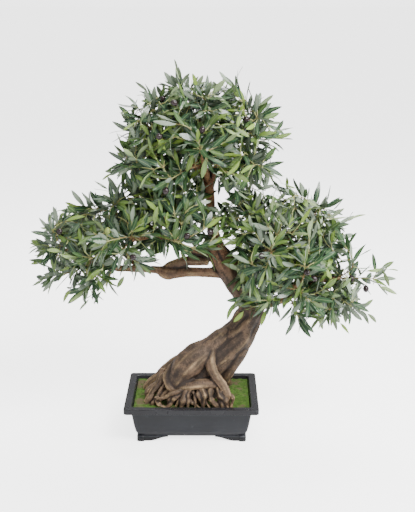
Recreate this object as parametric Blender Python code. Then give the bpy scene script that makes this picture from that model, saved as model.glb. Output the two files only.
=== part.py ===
"""Olive bonsai in a rectangular pot: pot, filler block, moss mat, one woody trunk and its leafy sprays.

Metres, +Z up. The tree is laid out from the middle of the pot's base, and is moved at the end so that
the origin is the bottom centre of the whole object's box. +X is to the right and -Y is the front.
"""

import math
import random

import bmesh
import bpy
from mathutils import Vector
from mathutils.bvhtree import BVHTree

# Driving sizes of the pot and what fills it
FIT_GAP = 0.0003
POT_LENGTH = 0.330
POT_WIDTH = 0.235
POT_HEIGHT = 0.098
RIM_THICKNESS = 0.0135
RIM_REACH = 0.018
BODY_TOP_INSET = 0.0165
BODY_FOOT_INSET = 0.041
FLOOR_UNDERSIDE = 0.010
FLOOR_TOP = 0.018
INSIDE_TAPER = 0.020
CORNER_RADIUS = 0.008
INNER_CORNER_RADIUS = 0.006
CORNER_STEPS = 2
FOOT_LENGTH = 0.074
FOOT_FLAT_SHARE = 0.34
FOOT_STEPS = 3
FOOT_SIDE_LENGTH = 0.056
FOOT_DEPTH = 0.015
FOOT_INSET = 0.0325
SOIL_TOP = 0.0845
MAT_THICKNESS = 0.004
MAT_GAP = 0.0008

# Driving sizes of the wood
TRUNK_CUT = SOIL_TOP + MAT_THICKNESS + 2 * FIT_GAP
STUMP_RADIUS = 0.030
STUMP_DEPTH = 0.045
STUMP_FIT = 0.001
STUMP_SIDES = 16
STUMP_PLACE = Vector((0.012, -0.012, 0.0))
STUMP_OVERLAP = 0.02
TRUNK_SIDES = 12
FRONT_ROOT_SIDES = 8
LIMB_SIDES = 6
CUT_BOX_SIZE = 0.4
HOLE_RADIUS = 0.00222
HOLE_SIDES = 6
HOLE_REACH = 0.030

# Driving sizes of the sprays
TWIG_BASE_RADIUS = 0.0016
TWIG_TIP_RADIUS = 0.0010
PLUG_START = 0.0006
ELBOW = 0.018
BARE_LENGTH = 0.010
LEAF_LENGTH = 0.056
LEAF_WIDTH = 0.0130
LEAF_THICKNESS = 0.0014
WIDEST = 0.42
LEAF_PAIRS = 5
LEAF_ATTEMPTS = 10
TWIG_ATTEMPTS = 24
FACE_UP = 0.5
TWIG_SPANS = 4
TWIG_SIDES = 4
TWIG_CURVE = 0.42
TWIG_CLEAR = 0.00008
OLIVE_LENGTH = 0.019
OLIVE_WIDTH = 0.0145
STALK_RADIUS = 0.0009
STALK_SHARE = 0.72
LONGEST_STALK = 0.026
SHORTEST_STALK = 0.014
CLEAR = 0.0009
SEED = 1807

# The woody routes: points (x, y, z) with the radius of the wood there
TRUNK_ROUTE = (
    ((0.002, -0.005, 0.080), 0.064),
    ((0.016, -0.004, 0.135), 0.058),
    ((0.042, -0.002, 0.180), 0.051),
    ((0.084, 0.000, 0.220), 0.045),
    ((0.122, 0.000, 0.260), 0.039),
    ((0.144, 0.000, 0.302), 0.033),
    ((0.139, 0.000, 0.345), 0.031),
    ((0.112, 0.000, 0.390), 0.030),
    ((0.085, 0.000, 0.428), 0.030),
    ((0.064, 0.002, 0.466), 0.024),
    ((0.052, 0.002, 0.510), 0.015),
    ((0.048, 0.000, 0.560), 0.0115),
    ((0.042, 0.000, 0.630), 0.0110),
    ((0.028, 0.004, 0.675), 0.0098),
    ((0.016, 0.012, 0.730), 0.0080),
    ((0.012, 0.022, 0.785), 0.0052),
)
ROOT_ROUTES = {
    "arm": (
        ((0.070, -0.030, 0.262), 0.012), ((0.050, -0.046, 0.232), 0.0125), ((0.046, -0.057, 0.203), 0.0125),
        ((0.056, -0.067, 0.173), 0.012), ((0.078, -0.075, 0.146), 0.0115), ((0.092, -0.081, 0.121), 0.013),
        ((0.100, -0.080, 0.078), 0.010),
    ),
    "knee": (
        ((0.078, -0.020, 0.252), 0.022), ((0.036, -0.026, 0.222), 0.030), ((0.000, -0.032, 0.196), 0.034),
        ((-0.026, -0.036, 0.166), 0.030), ((-0.038, -0.044, 0.130), 0.021),
        ((-0.036, -0.048, 0.080), 0.020),
    ),
    "cross": (
        ((-0.052, -0.050, 0.122), 0.012), ((-0.030, -0.062, 0.134), 0.0125),
        ((0.000, -0.069, 0.142), 0.013), ((0.034, -0.069, 0.146), 0.0125), ((0.068, -0.060, 0.138), 0.012),
        ((0.086, -0.044, 0.120), 0.012),
    ),
    "outer_left": (
        ((-0.012, 0.000, 0.178), 0.016), ((-0.048, -0.006, 0.158), 0.013), ((-0.078, -0.020, 0.130), 0.011),
        ((-0.104, -0.040, 0.102), 0.009), ((-0.114, -0.046, 0.082), 0.008),
    ),
    "curl_left": (
        ((-0.018, -0.030, 0.210), 0.010), ((-0.044, -0.038, 0.182), 0.010),
        ((-0.060, -0.048, 0.158), 0.010), ((-0.055, -0.060, 0.138), 0.009),
        ((-0.038, -0.068, 0.124), 0.009),
    ),
    "back_left": (
        ((-0.012, 0.014, 0.182), 0.017), ((-0.050, 0.022, 0.162), 0.013), ((-0.084, 0.030, 0.130), 0.011),
        ((-0.114, 0.034, 0.100), 0.009), ((-0.122, 0.036, 0.082), 0.008),
    ),
    "right_lobe": (
        ((0.136, 0.006, 0.250), 0.027), ((0.112, 0.008, 0.204), 0.028), ((0.084, 0.006, 0.160), 0.022),
        ((0.074, 0.002, 0.122), 0.019), ((0.070, 0.000, 0.080), 0.018),
    ),
    "back": (
        ((0.060, 0.024, 0.210), 0.020), ((0.040, 0.046, 0.165), 0.018), ((0.024, 0.062, 0.120), 0.014),
        ((0.016, 0.072, 0.078), 0.012),
    ),
    "back_right": (
        ((0.095, 0.028, 0.200), 0.016), ((0.092, 0.050, 0.150), 0.014), ((0.098, 0.064, 0.110), 0.011),
        ((0.104, 0.070, 0.078), 0.009),
    ),
    "back_knee": (
        ((0.010, 0.022, 0.190), 0.018), ((-0.022, 0.044, 0.145), 0.016), ((-0.044, 0.060, 0.105), 0.011),
        ((-0.052, 0.064, 0.078), 0.009),
    ),
}
FRONT_ROOTS = ("arm", "knee", "cross", "right_lobe")
FINGER_ROOTS = (
    ((-0.012, -0.062, 0.140), (-0.018, -0.081, 0.119), (-0.026, -0.085, 0.082), 0.0080),
    ((0.005, -0.064, 0.142), (0.008, -0.083, 0.121), (0.014, -0.086, 0.082), 0.0066),
    ((0.020, -0.064, 0.144), (0.031, -0.083, 0.122), (0.029, -0.086, 0.082), 0.0084),
    ((0.038, -0.064, 0.140), (0.048, -0.083, 0.116), (0.055, -0.086, 0.082), 0.0068),
    ((0.056, -0.060, 0.134), (0.066, -0.081, 0.114), (0.079, -0.084, 0.082), 0.0074),
    ((-0.030, -0.058, 0.134), (-0.050, -0.074, 0.116), (-0.061, -0.081, 0.082), 0.0082),
    ((-0.042, -0.050, 0.128), (-0.070, -0.062, 0.114), (-0.086, -0.068, 0.082), 0.0070),
    ((-0.054, -0.034, 0.122), (-0.086, -0.046, 0.106), (-0.104, -0.058, 0.082), 0.0074),
)
LIMB_ROUTES = {
    "left_lower": (
        ((0.092, 0.000, 0.412), 0.016), ((0.046, -0.002, 0.411), 0.0125), ((0.000, -0.004, 0.413), 0.0120),
        ((-0.040, -0.005, 0.413), 0.0150), ((-0.064, -0.005, 0.413), 0.0155),
        ((-0.084, -0.006, 0.420), 0.0095), ((-0.130, -0.010, 0.424), 0.0085),
        ((-0.187, -0.016, 0.428), 0.0075), ((-0.236, -0.024, 0.446), 0.0062),
        ((-0.280, -0.024, 0.462), 0.0050),
    ),
    "left_upper_strand": (
        ((0.040, 0.000, 0.440), 0.0105), ((0.012, 0.000, 0.441), 0.0125), ((-0.022, -0.001, 0.439), 0.0120),
        ((-0.050, -0.003, 0.430), 0.0105), ((-0.068, -0.004, 0.420), 0.0085),
    ),
    "left_back": (
        ((-0.124, -0.010, 0.424), 0.0070), ((-0.158, 0.030, 0.442), 0.0068),
        ((-0.200, 0.072, 0.466), 0.0058), ((-0.236, 0.098, 0.484), 0.0048),
    ),
    "left_high": (
        ((0.066, 0.004, 0.452), 0.016), ((0.026, 0.006, 0.462), 0.0115), ((-0.024, 0.008, 0.474), 0.0100),
        ((-0.074, 0.010, 0.508), 0.0088), ((-0.128, 0.014, 0.536), 0.0066),
        ((-0.176, 0.018, 0.552), 0.0050),
    ),
    "left_front": (
        ((-0.056, 0.010, 0.498), 0.0068), ((-0.094, -0.036, 0.510), 0.0062),
        ((-0.142, -0.078, 0.514), 0.0050),
    ),
    "right_low": (
        ((0.140, 0.000, 0.322), 0.018), ((0.184, -0.006, 0.334), 0.0130), ((0.226, -0.012, 0.350), 0.0112),
        ((0.276, -0.016, 0.378), 0.0090), ((0.322, -0.020, 0.398), 0.0068),
        ((0.362, -0.018, 0.404), 0.0050),
    ),
    "right_front": (
        ((0.222, -0.012, 0.350), 0.0080), ((0.240, -0.048, 0.384), 0.0068),
        ((0.258, -0.088, 0.412), 0.0050),
    ),
    "right_back": (
        ((0.240, -0.012, 0.358), 0.0080), ((0.264, 0.036, 0.382), 0.0066), ((0.288, 0.088, 0.402), 0.0050),
    ),
    "right_high": (
        ((0.112, 0.004, 0.392), 0.018), ((0.156, 0.014, 0.428), 0.0120), ((0.204, 0.022, 0.470), 0.0092),
        ((0.250, 0.026, 0.504), 0.0072), ((0.292, 0.026, 0.528), 0.0050),
    ),
    "right_crown": (
        ((0.170, 0.016, 0.440), 0.0078), ((0.176, -0.030, 0.470), 0.0064), ((0.188, -0.070, 0.492), 0.0050),
    ),
    "top_left": (
        ((0.040, 0.000, 0.640), 0.0090), ((0.000, -0.008, 0.690), 0.0080),
        ((-0.046, -0.014, 0.730), 0.0064), ((-0.086, -0.016, 0.752), 0.0050),
    ),
    "top_right": (
        ((0.044, 0.000, 0.622), 0.0090), ((0.066, 0.004, 0.684), 0.0080), ((0.098, 0.006, 0.730), 0.0064),
        ((0.130, 0.006, 0.762), 0.0050),
    ),
    "top_front": (
        ((0.042, 0.000, 0.634), 0.0076), ((0.034, -0.046, 0.678), 0.0064), ((0.028, -0.088, 0.710), 0.0050),
    ),
    "top_back": (
        ((0.044, 0.000, 0.612), 0.0076), ((0.046, 0.052, 0.660), 0.0064), ((0.042, 0.092, 0.694), 0.0050),
    ),
}

# Where each spray's twig ends, by the pad of foliage it belongs to
SPRAY_TIPS = {
    "top": (
        (-0.082, -0.020, 0.820), (-0.030, 0.020, 0.856), (0.036, -0.050, 0.846), (0.104, 0.020, 0.852),
        (0.158, -0.030, 0.796), (0.194, 0.030, 0.736), (0.166, -0.050, 0.682), (-0.142, 0.010, 0.756),
        (-0.152, -0.050, 0.690), (0.018, -0.134, 0.756), (-0.046, -0.118, 0.664), (0.030, 0.136, 0.736),
    ),
    "left": (
        (-0.262, 0.030, 0.566), (-0.330, -0.050, 0.532), (-0.352, 0.030, 0.468), (-0.334, -0.020, 0.408),
        (-0.256, -0.060, 0.386), (-0.124, -0.080, 0.458), (-0.184, -0.040, 0.594), (-0.104, 0.020, 0.588),
        (-0.190, -0.146, 0.528), (-0.024, -0.100, 0.512), (-0.268, 0.136, 0.498), (-0.142, 0.130, 0.506),
    ),
    "right": (
        (0.150, 0.040, 0.566), (0.244, 0.020, 0.604), (0.326, 0.040, 0.566),
        (0.366, -0.050, 0.492), (0.452, -0.010, 0.398), (0.388, -0.060, 0.344), (0.338, 0.030, 0.306),
        (0.258, -0.060, 0.316), (0.174, -0.124, 0.456), (0.262, -0.138, 0.476), (0.284, -0.120, 0.376),
        (0.330, 0.130, 0.430),
    ),
}
PAD_LIMBS = {
    "top": ("trunk", "top_left", "top_right", "top_front", "top_back"),
    "left": ("left_lower", "left_back", "left_high", "left_front"),
    "right": ("right_low", "right_front", "right_back", "right_high", "right_crown"),
}
LOWEST_SPRAY_ON_TRUNK = 0.64
STATION_STEP = 0.012
STATION_SPACING = 0.015
BARE_SHARE_OF_LIMB = 0.42
END_PREFERENCE = 0.9
END_SINK = 0.010

# Where the olives hang, each from the nearest twig
OLIVE_SPOTS = (
    (-0.049, -0.040, 0.852), (0.110, -0.070, 0.800), (0.032, -0.130, 0.790), (-0.062, -0.130, 0.622),
    (-0.290, -0.080, 0.530), (-0.186, -0.150, 0.556), (0.000, -0.110, 0.540), (0.164, -0.130, 0.490),
    (0.267, -0.145, 0.455), (0.321, -0.090, 0.374), (0.386, -0.030, 0.414), (0.424, -0.030, 0.360),
)

MATERIALS = {
    "pot": ((0.045, 0.047, 0.055), 0.38),
    "filler": ((0.23, 0.19, 0.15), 0.95),
    "moss": ((0.10, 0.24, 0.04), 0.95),
    "bark": ((0.16, 0.095, 0.055), 0.75),
    "foliage": ((0.06, 0.15, 0.05), 0.45),
}


def clear_scene():
    for thing in list(bpy.data.objects):
        bpy.data.objects.remove(thing)


def new_collection(name):
    made = bpy.data.collections.new(name)
    bpy.context.scene.collection.children.link(made)
    return made


def make_materials():
    made = {}
    for name, (colour, roughness) in MATERIALS.items():
        material = bpy.data.materials.new(name)
        material.use_nodes = True
        shader = material.node_tree.nodes["Principled BSDF"]
        shader.inputs["Base Color"].default_value = (*colour, 1.0)
        shader.inputs["Roughness"].default_value = roughness
        shader.inputs["Metallic"].default_value = 0.0
        material.diffuse_color = (*colour, 1.0)
        made[name] = material
    return made


def object_from_bmesh(name, bm, collection):
    bmesh.ops.recalc_face_normals(bm, faces=bm.faces)
    mesh = bpy.data.meshes.new(name)
    bm.to_mesh(mesh)
    bm.free()
    made = bpy.data.objects.new(name, mesh)
    collection.objects.link(made)
    return made


def evaluated_mesh(thing):
    graph = bpy.context.evaluated_depsgraph_get()
    return bpy.data.meshes.new_from_object(thing.evaluated_get(graph))


def mesh_from_curve(thing, collection):
    """The curve's own surface as a mesh object, with its loose caps welded on."""
    bpy.context.view_layer.update()
    mesh = evaluated_mesh(thing)
    bm = bmesh.new()
    bm.from_mesh(mesh)
    bmesh.ops.remove_doubles(bm, verts=bm.verts, dist=1e-6)
    bpy.data.meshes.remove(mesh)
    made = object_from_bmesh(thing.name, bm, collection)
    made.matrix_world = thing.matrix_world
    bpy.data.objects.remove(thing)
    return made


def route_of(stations):
    return [(Vector(place), radius) for place, radius in stations]


def tube(name, route, sides, collection):
    """A round tube along a route of (point, radius), as a closed mesh object."""
    curve = bpy.data.curves.new(name, "CURVE")
    curve.dimensions = "3D"
    curve.bevel_depth = 1.0
    curve.bevel_resolution = (sides - 4) // 2
    curve.use_fill_caps = True
    spline = curve.splines.new("POLY")
    spline.points.add(len(route) - 1)
    for point, (place, radius) in zip(spline.points, route):
        point.co = (*place, 1.0)
        point.radius = radius
    thing = bpy.data.objects.new(name, curve)
    collection.objects.link(thing)
    return mesh_from_curve(thing, collection)


def rod(name, start, end, radius, sides, collection):
    """A straight closed cylinder between two points."""
    bm = bmesh.new()
    bmesh.ops.create_cone(
        bm, cap_ends=True, segments=sides, radius1=radius, radius2=radius, depth=(end - start).length
    )
    turn = (end - start).to_track_quat("Z", "Y").to_matrix().to_4x4()
    bmesh.ops.transform(bm, matrix=turn, verts=bm.verts)
    bmesh.ops.translate(bm, vec=(start + end) / 2, verts=bm.verts)
    return object_from_bmesh(name, bm, collection)


def joined(name, pieces, operation, solver, material, collection):
    """The first piece with the others added to it or cut from it by one Boolean on their collection."""
    body, others = pieces[0], pieces[1:]
    operands = new_collection(name + "_operands")
    for other in others:
        for holder in list(other.users_collection):
            holder.objects.unlink(other)
        operands.objects.link(other)
    modifier = body.modifiers.new("join", "BOOLEAN")
    modifier.operation = operation
    modifier.operand_type = "COLLECTION"
    modifier.collection = operands
    modifier.solver = solver
    bpy.context.view_layer.update()
    mesh = evaluated_mesh(body)
    mesh.name = name
    mesh.materials.clear()
    mesh.materials.append(material)
    made = bpy.data.objects.new(name, mesh)
    for other in [body, *others]:
        bpy.data.objects.remove(other)
    bpy.data.collections.remove(operands)
    collection.objects.link(made)
    return made


def rounded_rectangle(half_x, half_y, radius, z):
    """A ring of points round a rectangle whose corners are arcs."""
    ring = []
    corners = ((1, 1), (-1, 1), (-1, -1), (1, -1))
    for quarter, (side_x, side_y) in enumerate(corners):
        for step in range(CORNER_STEPS + 1):
            angle = math.radians(90 * (quarter + step / CORNER_STEPS))
            x = side_x * (half_x - radius) + radius * math.cos(angle)
            y = side_y * (half_y - radius) + radius * math.sin(angle)
            ring.append((x, y, z))
    return ring


def lofted(name, rings, collection):
    """A closed solid through like rings of points, capped at the first and the last."""
    bm = bmesh.new()
    rows = [[bm.verts.new(point) for point in ring] for ring in rings]
    count = len(rows[0])
    for lower, upper in zip(rows, rows[1:]):
        for i in range(count):
            j = (i + 1) % count
            bm.faces.new((lower[i], lower[j], upper[j], upper[i]))
    bm.faces.new(rows[0])
    bm.faces.new(rows[-1])
    return object_from_bmesh(name, bm, collection)


def inner_half(z):
    """Half the length and width of the pot's tapering inside at a height."""
    rise = (z - FLOOR_TOP) / (POT_HEIGHT - FLOOR_TOP)
    half_x = POT_LENGTH / 2 - RIM_REACH - INSIDE_TAPER * (1 - rise)
    half_y = POT_WIDTH / 2 - RIM_REACH - INSIDE_TAPER * (1 - rise)
    return half_x, half_y


def foot_bracket(name, turned, collection):
    """One leg of a corner foot, an extruded outline that curls up to nothing away from its corner."""
    length = FOOT_SIDE_LENGTH if turned else FOOT_LENGTH
    outline = [(0.0, 0.0), (FOOT_FLAT_SHARE * length, 0.0)]
    for step in range(1, FOOT_STEPS + 1):
        share = step / FOOT_STEPS
        rise = FLOOR_UNDERSIDE * 0.5 * (1 - math.cos(math.pi * share))
        outline.append(((FOOT_FLAT_SHARE + (1 - FOOT_FLAT_SHARE) * share) * length, rise))
    # Its upper edge runs back into the floor, and its corner end leans out a little
    outline += [(length, FLOOR_TOP - 0.004), (0.003, FLOOR_TOP - 0.002), (-0.001, 0.010), (-0.002, 0.004)]
    bm = bmesh.new()
    sides = []
    for depth in (0.0, FOOT_DEPTH):
        if turned:
            sides.append([bm.verts.new((depth, along, z)) for along, z in outline])
        else:
            sides.append([bm.verts.new((along, depth, z)) for along, z in outline])
    for i in range(len(outline)):
        j = (i + 1) % len(outline)
        bm.faces.new((sides[0][i], sides[0][j], sides[1][j], sides[1][i]))
    bm.faces.new(sides[0])
    bm.faces.new(sides[1])
    return object_from_bmesh(name, bm, collection)


def foot_corners():
    """The four corners where the feet stand, with the way each faces."""
    half_x, half_y = POT_LENGTH / 2 - FOOT_INSET, POT_WIDTH / 2 - FOOT_INSET
    return [(sx * half_x, sy * half_y, sx, sy) for sx in (-1, 1) for sy in (-1, 1)]


def make_pot(material, parts, scraps):
    """The moulded pot: a tapering bowl with a heavy flat rim and four bracket feet."""
    top_x, top_y = POT_LENGTH / 2, POT_WIDTH / 2
    rim_bottom = POT_HEIGHT - RIM_THICKNESS
    profile = (
        (BODY_FOOT_INSET + 0.006, FLOOR_UNDERSIDE),
        (BODY_FOOT_INSET, FLOOR_UNDERSIDE + 0.001),
        (BODY_FOOT_INSET - 0.008, FLOOR_UNDERSIDE + 0.006),
        (BODY_FOOT_INSET - 0.014, FLOOR_UNDERSIDE + 0.018),
        (BODY_FOOT_INSET - 0.018, FLOOR_UNDERSIDE + 0.036),
        (BODY_TOP_INSET + 0.0015, rim_bottom - 0.007),
        (BODY_TOP_INSET, rim_bottom - 0.006),
        (BODY_TOP_INSET, rim_bottom),
        (0.0020, rim_bottom),
        (0.0, rim_bottom + 0.0025),
        (0.0, POT_HEIGHT - 0.0030),
        (0.0030, POT_HEIGHT),
        (RIM_REACH - 0.001, POT_HEIGHT),
    )
    rings = [rounded_rectangle(top_x - inset, top_y - inset, CORNER_RADIUS, z) for inset, z in profile]
    for z in (POT_HEIGHT - 0.001, FLOOR_TOP):
        rings.append(rounded_rectangle(*inner_half(z), INNER_CORNER_RADIUS, z))
    pieces = [lofted("pot_body", rings, scraps)]
    for corner, (x, y, side_x, side_y) in enumerate(foot_corners()):
        for turned in (False, True):
            bracket = foot_bracket(f"foot_{corner}_{turned}", turned, scraps)
            bm = bmesh.new()
            bm.from_mesh(bracket.data)
            # The bracket is drawn running inwards from a corner at the origin, so it is mirrored into place
            bmesh.ops.scale(bm, vec=(-side_x, -side_y, 1.0), verts=bm.verts)
            bmesh.ops.translate(bm, vec=(x, y, 0.0), verts=bm.verts)
            bmesh.ops.recalc_face_normals(bm, faces=bm.faces)
            bm.to_mesh(bracket.data)
            bm.free()
            pieces.append(bracket)
    return joined("pot", pieces, "UNION", "EXACT", material, parts)


def make_filler(material, parts, scraps):
    """The block that fills the pot, with a plain round pocket for the trunk's stump."""
    rings = []
    for z in (FLOOR_TOP + FIT_GAP, SOIL_TOP):
        half_x, half_y = inner_half(z)
        rings.append(rounded_rectangle(half_x - 2 * FIT_GAP, half_y - 2 * FIT_GAP, INNER_CORNER_RADIUS, z))
    block = lofted("block", rings, scraps)
    floor_of_pocket = STUMP_PLACE + Vector((0, 0, SOIL_TOP - STUMP_DEPTH - 2 * FIT_GAP))
    mouth = STUMP_PLACE + Vector((0, 0, SOIL_TOP + 0.01))
    pocket = rod("pocket", floor_of_pocket, mouth, STUMP_RADIUS + STUMP_FIT, STUMP_SIDES, scraps)
    return joined("filler_block", [block, pocket], "DIFFERENCE", "EXACT", material, parts)


def stump_opening():
    """The mat's round hole over the filler's pocket, as a ring of points."""
    angles = [math.tau * step / STUMP_SIDES for step in range(STUMP_SIDES)]
    reach = STUMP_RADIUS + STUMP_FIT
    return [STUMP_PLACE + reach * Vector((math.cos(angle), math.sin(angle), 0.0)) for angle in angles]


def make_mat(material, parts, scraps):
    """The moss mat: a flat sheet on the filler, which the roots rest on, with a hole for the stump."""
    half_x, half_y = inner_half(SOIL_TOP)
    outer = rounded_rectangle(half_x - MAT_GAP, half_y - MAT_GAP, INNER_CORNER_RADIUS, 0.0)
    curve = bpy.data.curves.new("mat_outline", "CURVE")
    curve.dimensions = "2D"
    curve.fill_mode = "BOTH"
    curve.extrude = MAT_THICKNESS / 2
    for ring in (outer, stump_opening()):
        spline = curve.splines.new("POLY")
        spline.points.add(len(ring) - 1)
        spline.use_cyclic_u = True
        for point, place in zip(spline.points, ring):
            point.co = (*place, 1.0)
    sheet = bpy.data.objects.new("mat_outline", curve)
    scraps.objects.link(sheet)
    sheet.location.z = SOIL_TOP + FIT_GAP + MAT_THICKNESS / 2
    mat = mesh_from_curve(sheet, parts)
    mat.name = "moss_mat"
    mat.data.materials.append(material)
    return mat


def gnarled(thing, depth, pitch, phase):
    """Moves each point of a limb a little along its normal by crossed sine waves, for lumps and hollows."""
    mesh = thing.data
    normals = [vertex.normal.copy() for vertex in mesh.vertices]
    for vertex, normal in zip(mesh.vertices, normals):
        x, y, z = vertex.co / pitch
        wave = math.sin(x + 1.7 * z + phase) * math.sin(1.3 * y - 0.8 * z + 2 * phase)
        vertex.co += normal * depth * wave
    return thing


def limb_pieces(scraps):
    """Every tube that the wood is joined from: trunk, roots, finger roots and limbs."""
    pieces = [gnarled(tube("trunk_core", route_of(TRUNK_ROUTE), TRUNK_SIDES, scraps), 0.0022, 0.011, 0.4)]
    for turn, (name, stations) in enumerate(ROOT_ROUTES.items()):
        sides = FRONT_ROOT_SIDES if name in FRONT_ROOTS else LIMB_SIDES
        root = tube("root_" + name, route_of(stations), sides, scraps)
        pieces.append(gnarled(root, 0.0012, 0.008, turn))
    for turn, (*points, radius) in enumerate(FINGER_ROOTS):
        radii = (radius * 1.2, radius, radius * 0.85)
        pieces.append(tube(f"finger_{turn}", route_of(zip(points, radii)), LIMB_SIDES, scraps))
    for turn, (name, stations) in enumerate(LIMB_ROUTES.items()):
        limb = tube("limb_" + name, route_of(stations), LIMB_SIDES, scraps)
        pieces.append(gnarled(limb, 0.0007, 0.010, turn))
    return pieces


def flat_cut_box(scraps):
    """A big box whose top face trims the roots level where they meet the filler."""
    bm = bmesh.new()
    bmesh.ops.create_cube(bm, size=CUT_BOX_SIZE)
    bmesh.ops.translate(bm, vec=(0, 0, TRUNK_CUT - CUT_BOX_SIZE / 2), verts=bm.verts)
    return object_from_bmesh("flat_cut", bm, scraps)


def stations_of(routes):
    """Places on a pad's limbs where a spray may go: (point, limb direction, is it the limb's end)."""
    found = []
    for name, route in routes:
        walked = 0.0
        whole = sum((b[0] - a[0]).length for a, b in zip(route, route[1:]))
        for (start, _), (end, _) in zip(route, route[1:]):
            span = (end - start).length
            direction = (end - start) / span
            count = max(1, int(span / STATION_STEP))
            for step in range(count):
                along = walked + span * step / count
                place = start + direction * span * step / count
                if name == "trunk":
                    far_enough = place.z > LOWEST_SPRAY_ON_TRUNK
                else:
                    far_enough = along > BARE_SHARE_OF_LIMB * whole
                if far_enough and along < whole - STATION_SPACING:
                    found.append((place, direction, False))
            walked += span
        found.append((route[-1][0] - direction * END_SINK, direction, True))
    return found


def plan_sprays():
    """For each spray, its name, where it is plugged in, the way it leaves the wood and where its twig ends."""
    plans = []
    for pad, tips in SPRAY_TIPS.items():
        limbs = {name: TRUNK_ROUTE if name == "trunk" else LIMB_ROUTES[name] for name in PAD_LIMBS[pad]}
        free = stations_of([(name, route_of(stations)) for name, stations in limbs.items()])
        for number, tip in enumerate(tips):
            target = Vector(tip)

            def farness(station):
                return (target - station[0]).length * (END_PREFERENCE if station[2] else 1.0)

            place, direction, at_end = min(free, key=farness)
            free = [station for station in free if (station[0] - place).length > STATION_SPACING]
            way = (target - place).normalized()
            if at_end:
                leave = direction * 0.65 + way * 0.35
            else:
                leave = way - direction * way.dot(direction) * 0.4 + Vector((0, 0, 0.10))
            plans.append({
                "name": f"spray_{pad}_{number + 1:02d}",
                "root": place,
                "leave": leave.normalized(),
                "sink": END_SINK if at_end else 0.0,
                "tip": target,
            })
    return plans


def make_trunk(plans, material, parts, scraps):
    """The one piece of wood, cut flat under its roots, with its stump and a drilled hole for each spray."""
    wood = joined("wood", limb_pieces(scraps), "UNION", "MANIFOLD", material, scraps)
    wood = joined("wood_cut", [wood, flat_cut_box(scraps)], "DIFFERENCE", "MANIFOLD", material, scraps)
    stump_bottom = STUMP_PLACE + Vector((0, 0, SOIL_TOP - STUMP_DEPTH))
    stump_top = STUMP_PLACE + Vector((0, 0, TRUNK_CUT + STUMP_OVERLAP))
    stump = rod("stump", stump_bottom, stump_top, STUMP_RADIUS, STUMP_SIDES, scraps)
    wood = joined("wood_stump", [wood, stump], "UNION", "MANIFOLD", material, scraps)
    holes = []
    for plan in plans:
        mouth = plan["root"] + plan["leave"] * HOLE_REACH
        holes.append(rod(plan["name"] + "_hole", plan["root"], mouth, HOLE_RADIUS, HOLE_SIDES, scraps))
    return joined("trunk", [wood, *holes], "DIFFERENCE", "MANIFOLD", material, parts)


def twig_route(plan, bow):
    """The twig's points: straight out of its hole, then a curve to its tip with a little sag."""
    start = plan["root"] + plan["leave"] * PLUG_START
    elbow = plan["root"] + plan["leave"] * (ELBOW + plan["sink"])
    reach = (plan["tip"] - elbow).length
    middle = elbow + plan["leave"] * TWIG_CURVE * reach + bow
    route = [start, elbow]
    for step in range(1, TWIG_SPANS + 1):
        t = step / TWIG_SPANS
        route.append((1 - t) ** 2 * elbow + 2 * t * (1 - t) * middle + t * t * plan["tip"])
    count = len(route) - 1
    radii = [TWIG_BASE_RADIUS + (TWIG_TIP_RADIUS - TWIG_BASE_RADIUS) * i / count for i in range(count + 1)]
    return list(zip(route, radii))


def triangles_of(thing):
    """(points, polygons) of an object whose place is in its mesh."""
    points = [vertex.co.copy() for vertex in thing.data.vertices]
    return points, [tuple(polygon.vertices) for polygon in thing.data.polygons]


def crosses(points, faces, trees):
    grown = BVHTree.FromPolygons(points, faces, epsilon=CLEAR)
    return any(grown.overlap(tree) for tree in trees)


def twig_choice(plan, attempt):
    """The twig's route at one of its attempts, which bow out further and further."""
    draw = random.Random(f"{plan['name']} twig {attempt} {SEED}")
    size = 0.004 + 0.003 * attempt
    return twig_route(plan, Vector([draw.uniform(-size, size) for _ in range(3)]))


def make_twig(plan, others, wood_tree, scraps):
    """A spray's twig, bent until it is clear of the wood and of the other twigs."""
    for attempt in range(TWIG_ATTEMPTS):
        route = twig_choice(plan, attempt)
        twig = tube(plan["name"] + "_twig", route, TWIG_SIDES, scraps)
        points, faces = triangles_of(twig)
        fine = BVHTree.FromPolygons(points, faces, epsilon=TWIG_CLEAR)
        if not crosses(points, faces, others) and not fine.overlap(wood_tree):
            return route, twig, BVHTree.FromPolygons(points, faces, epsilon=CLEAR)
        bpy.data.objects.remove(twig)
    raise RuntimeError(f"{plan['name']} finds no clear way")


def blade_points(root, along, face, length, width, droop):
    """A thin keeled blade: a narrow stalk end, its widest section and a tip, arched away from its face."""
    across = along.cross(face).normalized()
    face = across.cross(along).normalized()
    sections = ((0.0, 0.0003, 0.0008), (WIDEST, width * 0.5, LEAF_THICKNESS))
    points = []
    for share, half, thick in sections:
        middle = root + along * length * share + face * droop * length * share
        points += [middle - across * half, middle + across * half, middle - face * thick]
    points.append(root + along * length - face * (droop * length + 0.3 * LEAF_THICKNESS))
    return points


# The blade's triangles, with those of its stalk end first
BLADE_FACES = (
    (0, 2, 1), (0, 1, 4), (0, 4, 3), (1, 2, 5), (1, 5, 4),
    (2, 0, 3), (2, 3, 5), (3, 4, 6), (4, 5, 6), (5, 3, 6),
)
OUTER_FACES = 7


def blade(name, points, scraps):
    bm = bmesh.new()
    made = [bm.verts.new(point) for point in points]
    for face in BLADE_FACES:
        bm.faces.new([made[i] for i in face])
    return object_from_bmesh(name, bm, scraps)


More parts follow.
